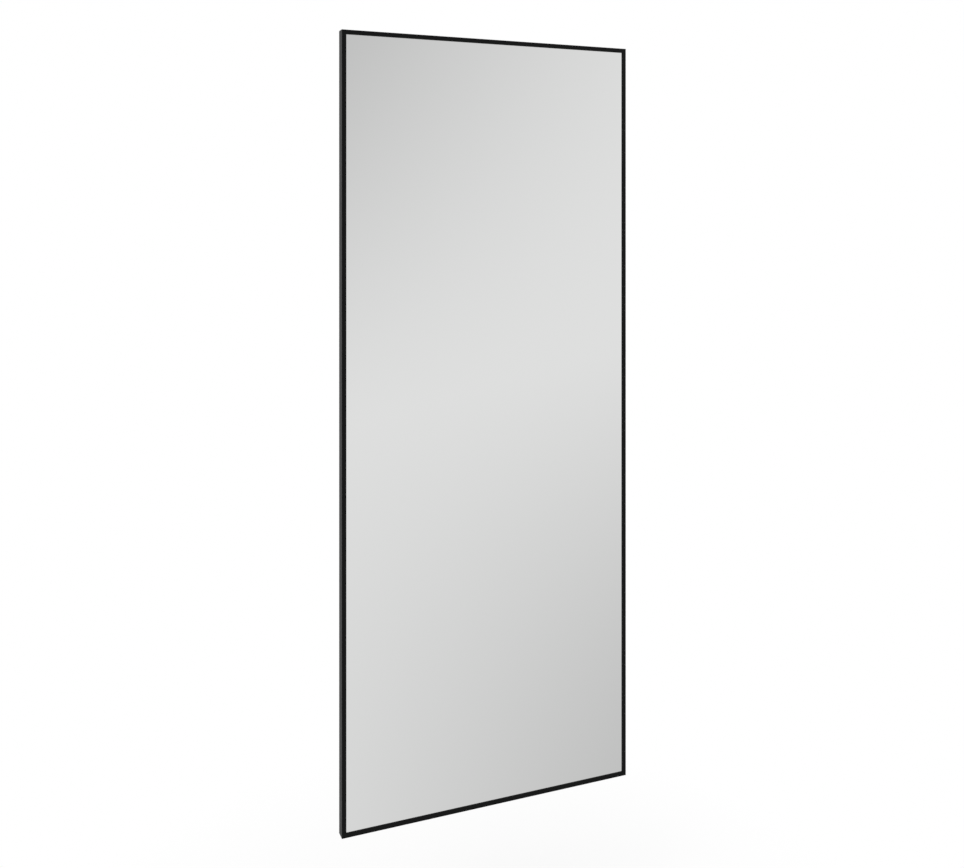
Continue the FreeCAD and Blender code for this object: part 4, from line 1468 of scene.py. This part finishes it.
@dataclass
class Carriage:
    """What slides out of the wardrobe: inner members, post, tie bar, bumpers and catch."""

    members: tuple[str, ...] = ("upper_inner_member", "lower_inner_member")
    brackets: tuple[str, ...] = ("upper_post_bracket", "lower_post_bracket")
    post_wall: float = 0.0015
    bush_flange: float = 0.0015
    bush_bore: float = 0.00405
    bush_sleeve: float = 0.0065
    edge_break: float = 0.0003
    bumper_foot: float = 0.004
    bumper_foot_radius: float = 0.007
    bumper_nose_radius: float = 0.0045
    bumper_tip_radius: float = 0.0026
    bumper_crease: float = 45.0

    def build(self, dresser: Dresser) -> None:
        """Build every piece of the carriage.

        Args:
            dresser: What settles the pieces.
        """
        screws = [POST_BRACKET_SCREWS, TIE_BAR_SCREWS]
        for member in self.members:
            SlideMember(member, WINDOWS_TO_A_MEMBER).build(dresser, screws)
        for bracket in self.brackets:
            EasedPiece(bracket).build(dresser, [POST_BRACKET_SCREWS, POST_GRUB_SCREWS])
        tie_bar = EasedPiece("rear_tie_bar", shortest=HOLE_SIDE)
        tie_bar.build(dresser, [TIE_BAR_SCREWS, CATCH_SCREWS])
        EasedPiece("catch_case", MOULDING_EASE).build(dresser, [CATCH_SCREWS])
        EasedPiece("catch_pole_plates", THIN_PLATE_EASE).build(dresser, [])
        for group in (*screws, POST_GRUB_SCREWS, CATCH_SCREWS):
            group.build(dresser)
        self.build_post(dresser)
        for end, heading in ENDS:
            self.build_bush(dresser, end + "_post_bush", heading)
            self.build_washer(dresser, end + "_thrust_washer", heading)
        self.build_bumpers(dresser)

    def ring(self, solid: Solid, heading: Vector, bore: float) -> bmesh.types.BMesh:
        """Make a tube or washer with broken edges, between a solid's outside and a bore.

        The break is at most a quarter of the length, so that a thin washer keeps a flank.

        Args:
            solid: The solid that it stands for.
            heading: The direction of its top.
            bore: The bore's radius.

        Returns:
            The closed mesh.
        """
        radius = solid.span(RIGHTWARD) / 2
        length = solid.span(heading)
        ease = min(self.edge_break, length / 4)
        outline = [
            (bore + ease, 0.0),
            (radius - ease, 0.0),
            (radius, -ease),
            (radius, ease - length),
            (radius - ease, -length),
            (bore + ease, -length),
            (bore, ease - length),
            (bore, -ease),
        ]
        return stand(turned(outline, closed=True), solid, heading)

    def build_post(self, dresser: Dresser) -> None:
        """Make the steel tube that carries the leaf.

        Args:
            dresser: What settles the piece.
        """
        solid = Solid(*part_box("pivot_post"))
        bore = solid.span(RIGHTWARD) / 2 - self.post_wall
        dresser.settle("pivot_post", self.ring(solid, UP, bore))

    def build_washer(self, dresser: Dresser, node: str, heading: Vector) -> None:
        """Make a thrust washer."""
        solid = Solid(*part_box(node))
        dresser.settle(node, self.ring(solid, heading, self.bush_bore))

    def build_bush(self, dresser: Dresser, node: str, heading: Vector) -> None:
        """Make a flanged bush, whose sleeve fills the post's end.

        Args:
            dresser: What settles the piece.
            node: The bush's node.
            heading: The direction of its flange's face.
        """
        solid = Solid(*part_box(node))
        flange = solid.span(RIGHTWARD) / 2
        length = solid.span(heading)
        ease = self.edge_break
        outline = [
            (self.bush_bore + ease, 0.0),
            (flange - ease, 0.0),
            (flange, -ease),
            (flange, -self.bush_flange),
            (self.bush_sleeve, -self.bush_flange),
            (self.bush_sleeve, ease - length),
            (self.bush_sleeve - ease, -length),
            (self.bush_bore + ease, -length),
            (self.bush_bore, ease - length),
            (self.bush_bore, -ease),
        ]
        dresser.settle(node, stand(turned(outline, closed=True), solid, heading))

    def build_bumpers(self, dresser: Dresser) -> None:
        """Make the rubber bumpers: a flared foot, a straight nose and a domed tip.

        Args:
            dresser: What settles the piece.
        """
        dome = self.bumper_nose_radius - self.bumper_tip_radius
        made = []
        for solid in solids_of("leaf_bumpers"):
            base = -solid.span(FORWARD)
            foot = (self.bumper_foot_radius, base + self.edge_break)
            neck = (self.bumper_nose_radius, base + self.edge_break + self.bumper_foot)
            shoulder = (self.bumper_nose_radius, -dome)
            outline = [(0.0, base), (self.bumper_foot_radius - self.edge_break, base), foot]
            outline += quarter_round(foot, neck, hollow=True)
            outline += [shoulder, *quarter_round(shoulder, (self.bumper_tip_radius, 0.0))]
            outline.append((0.0, 0.0))
            made.append(stand(turned(outline), solid, FORWARD))
        dresser.settle("leaf_bumpers", gather(made), crease=self.bumper_crease)


@dataclass
class MirrorLeaf:
    """What swivels: the framed mirror with its pivot brackets, pins and strike plate.

    The frame's long edges are eased. Those no longer than the mitre edge meet the next bar, and
    stay crisp, so that the corners close.
    """

    bars: tuple[str, ...] = (
        "frame_left_stile",
        "frame_right_stile",
        "frame_top_rail",
        "frame_bottom_rail",
    )
    bar_ease: float = 0.0003
    mitre_edge: float = 0.1
    pin_radius: float = 0.004
    pin_head_height: float = 0.0025
    pin_chamfer: float = 0.0005
    pin_crown: float = 0.001

    def build(self, dresser: Dresser) -> None:
        """Build the frame and the leaf's hardware.

        Args:
            dresser: What settles the pieces.
        """
        for bar in self.bars:
            EasedPiece(bar, self.bar_ease, self.mitre_edge).build(dresser, [CORNER_SET_SCREWS])
        for end, heading in ENDS:
            EasedPiece(end + "_pivot_bracket").build(dresser, [PIVOT_BRACKET_SCREWS])
            self.build_pin(dresser, end + "_pivot_pin", heading)
        EasedPiece("strike_plate", THIN_PLATE_EASE).build(dresser, [STRIKE_SCREWS])
        for group in (PIVOT_BRACKET_SCREWS, STRIKE_SCREWS, CORNER_SET_SCREWS):
            group.build(dresser)

    def build_pin(self, dresser: Dresser, node: str, heading: Vector) -> None:
        """Make a headed pin with a crowned head and a chamfered tip.

        Args:
            dresser: What settles the piece.
            node: The pin's node.
            heading: The direction of its head's face.
        """
        solid = Solid(*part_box(node))
        head = solid.span(RIGHTWARD) / 2
        length = solid.span(heading)
        crown = (head, -self.pin_crown)
        outline = [
            (0.0, -length),
            (self.pin_radius - self.pin_chamfer, -length),
            (self.pin_radius, self.pin_chamfer - length),
            (self.pin_radius, -self.pin_head_height),
            (head, -self.pin_head_height),
            crown,
            *quarter_round(crown, (head - self.pin_crown, 0.0)),
            (0.0, 0.0),
        ]
        dresser.settle(node, stand(turned(outline), solid, heading))


def main() -> None:
    """Dress the construction model, add the finer pieces and report each one."""
    logging.basicConfig(level=logging.INFO, format="%(message)s")
    bpy.context.scene.view_settings.view_transform = "Standard"
    ViewPoint().build()
    Studio().build()
    paintbox = Paintbox()
    paintbox.dress_frame()
    dresser = Dresser(paintbox)
    for assembly in (WardrobeSide(), SlideRunners(), Carriage(), MirrorLeaf()):
        assembly.build(dresser)


if __name__ == "__main__":
    main()
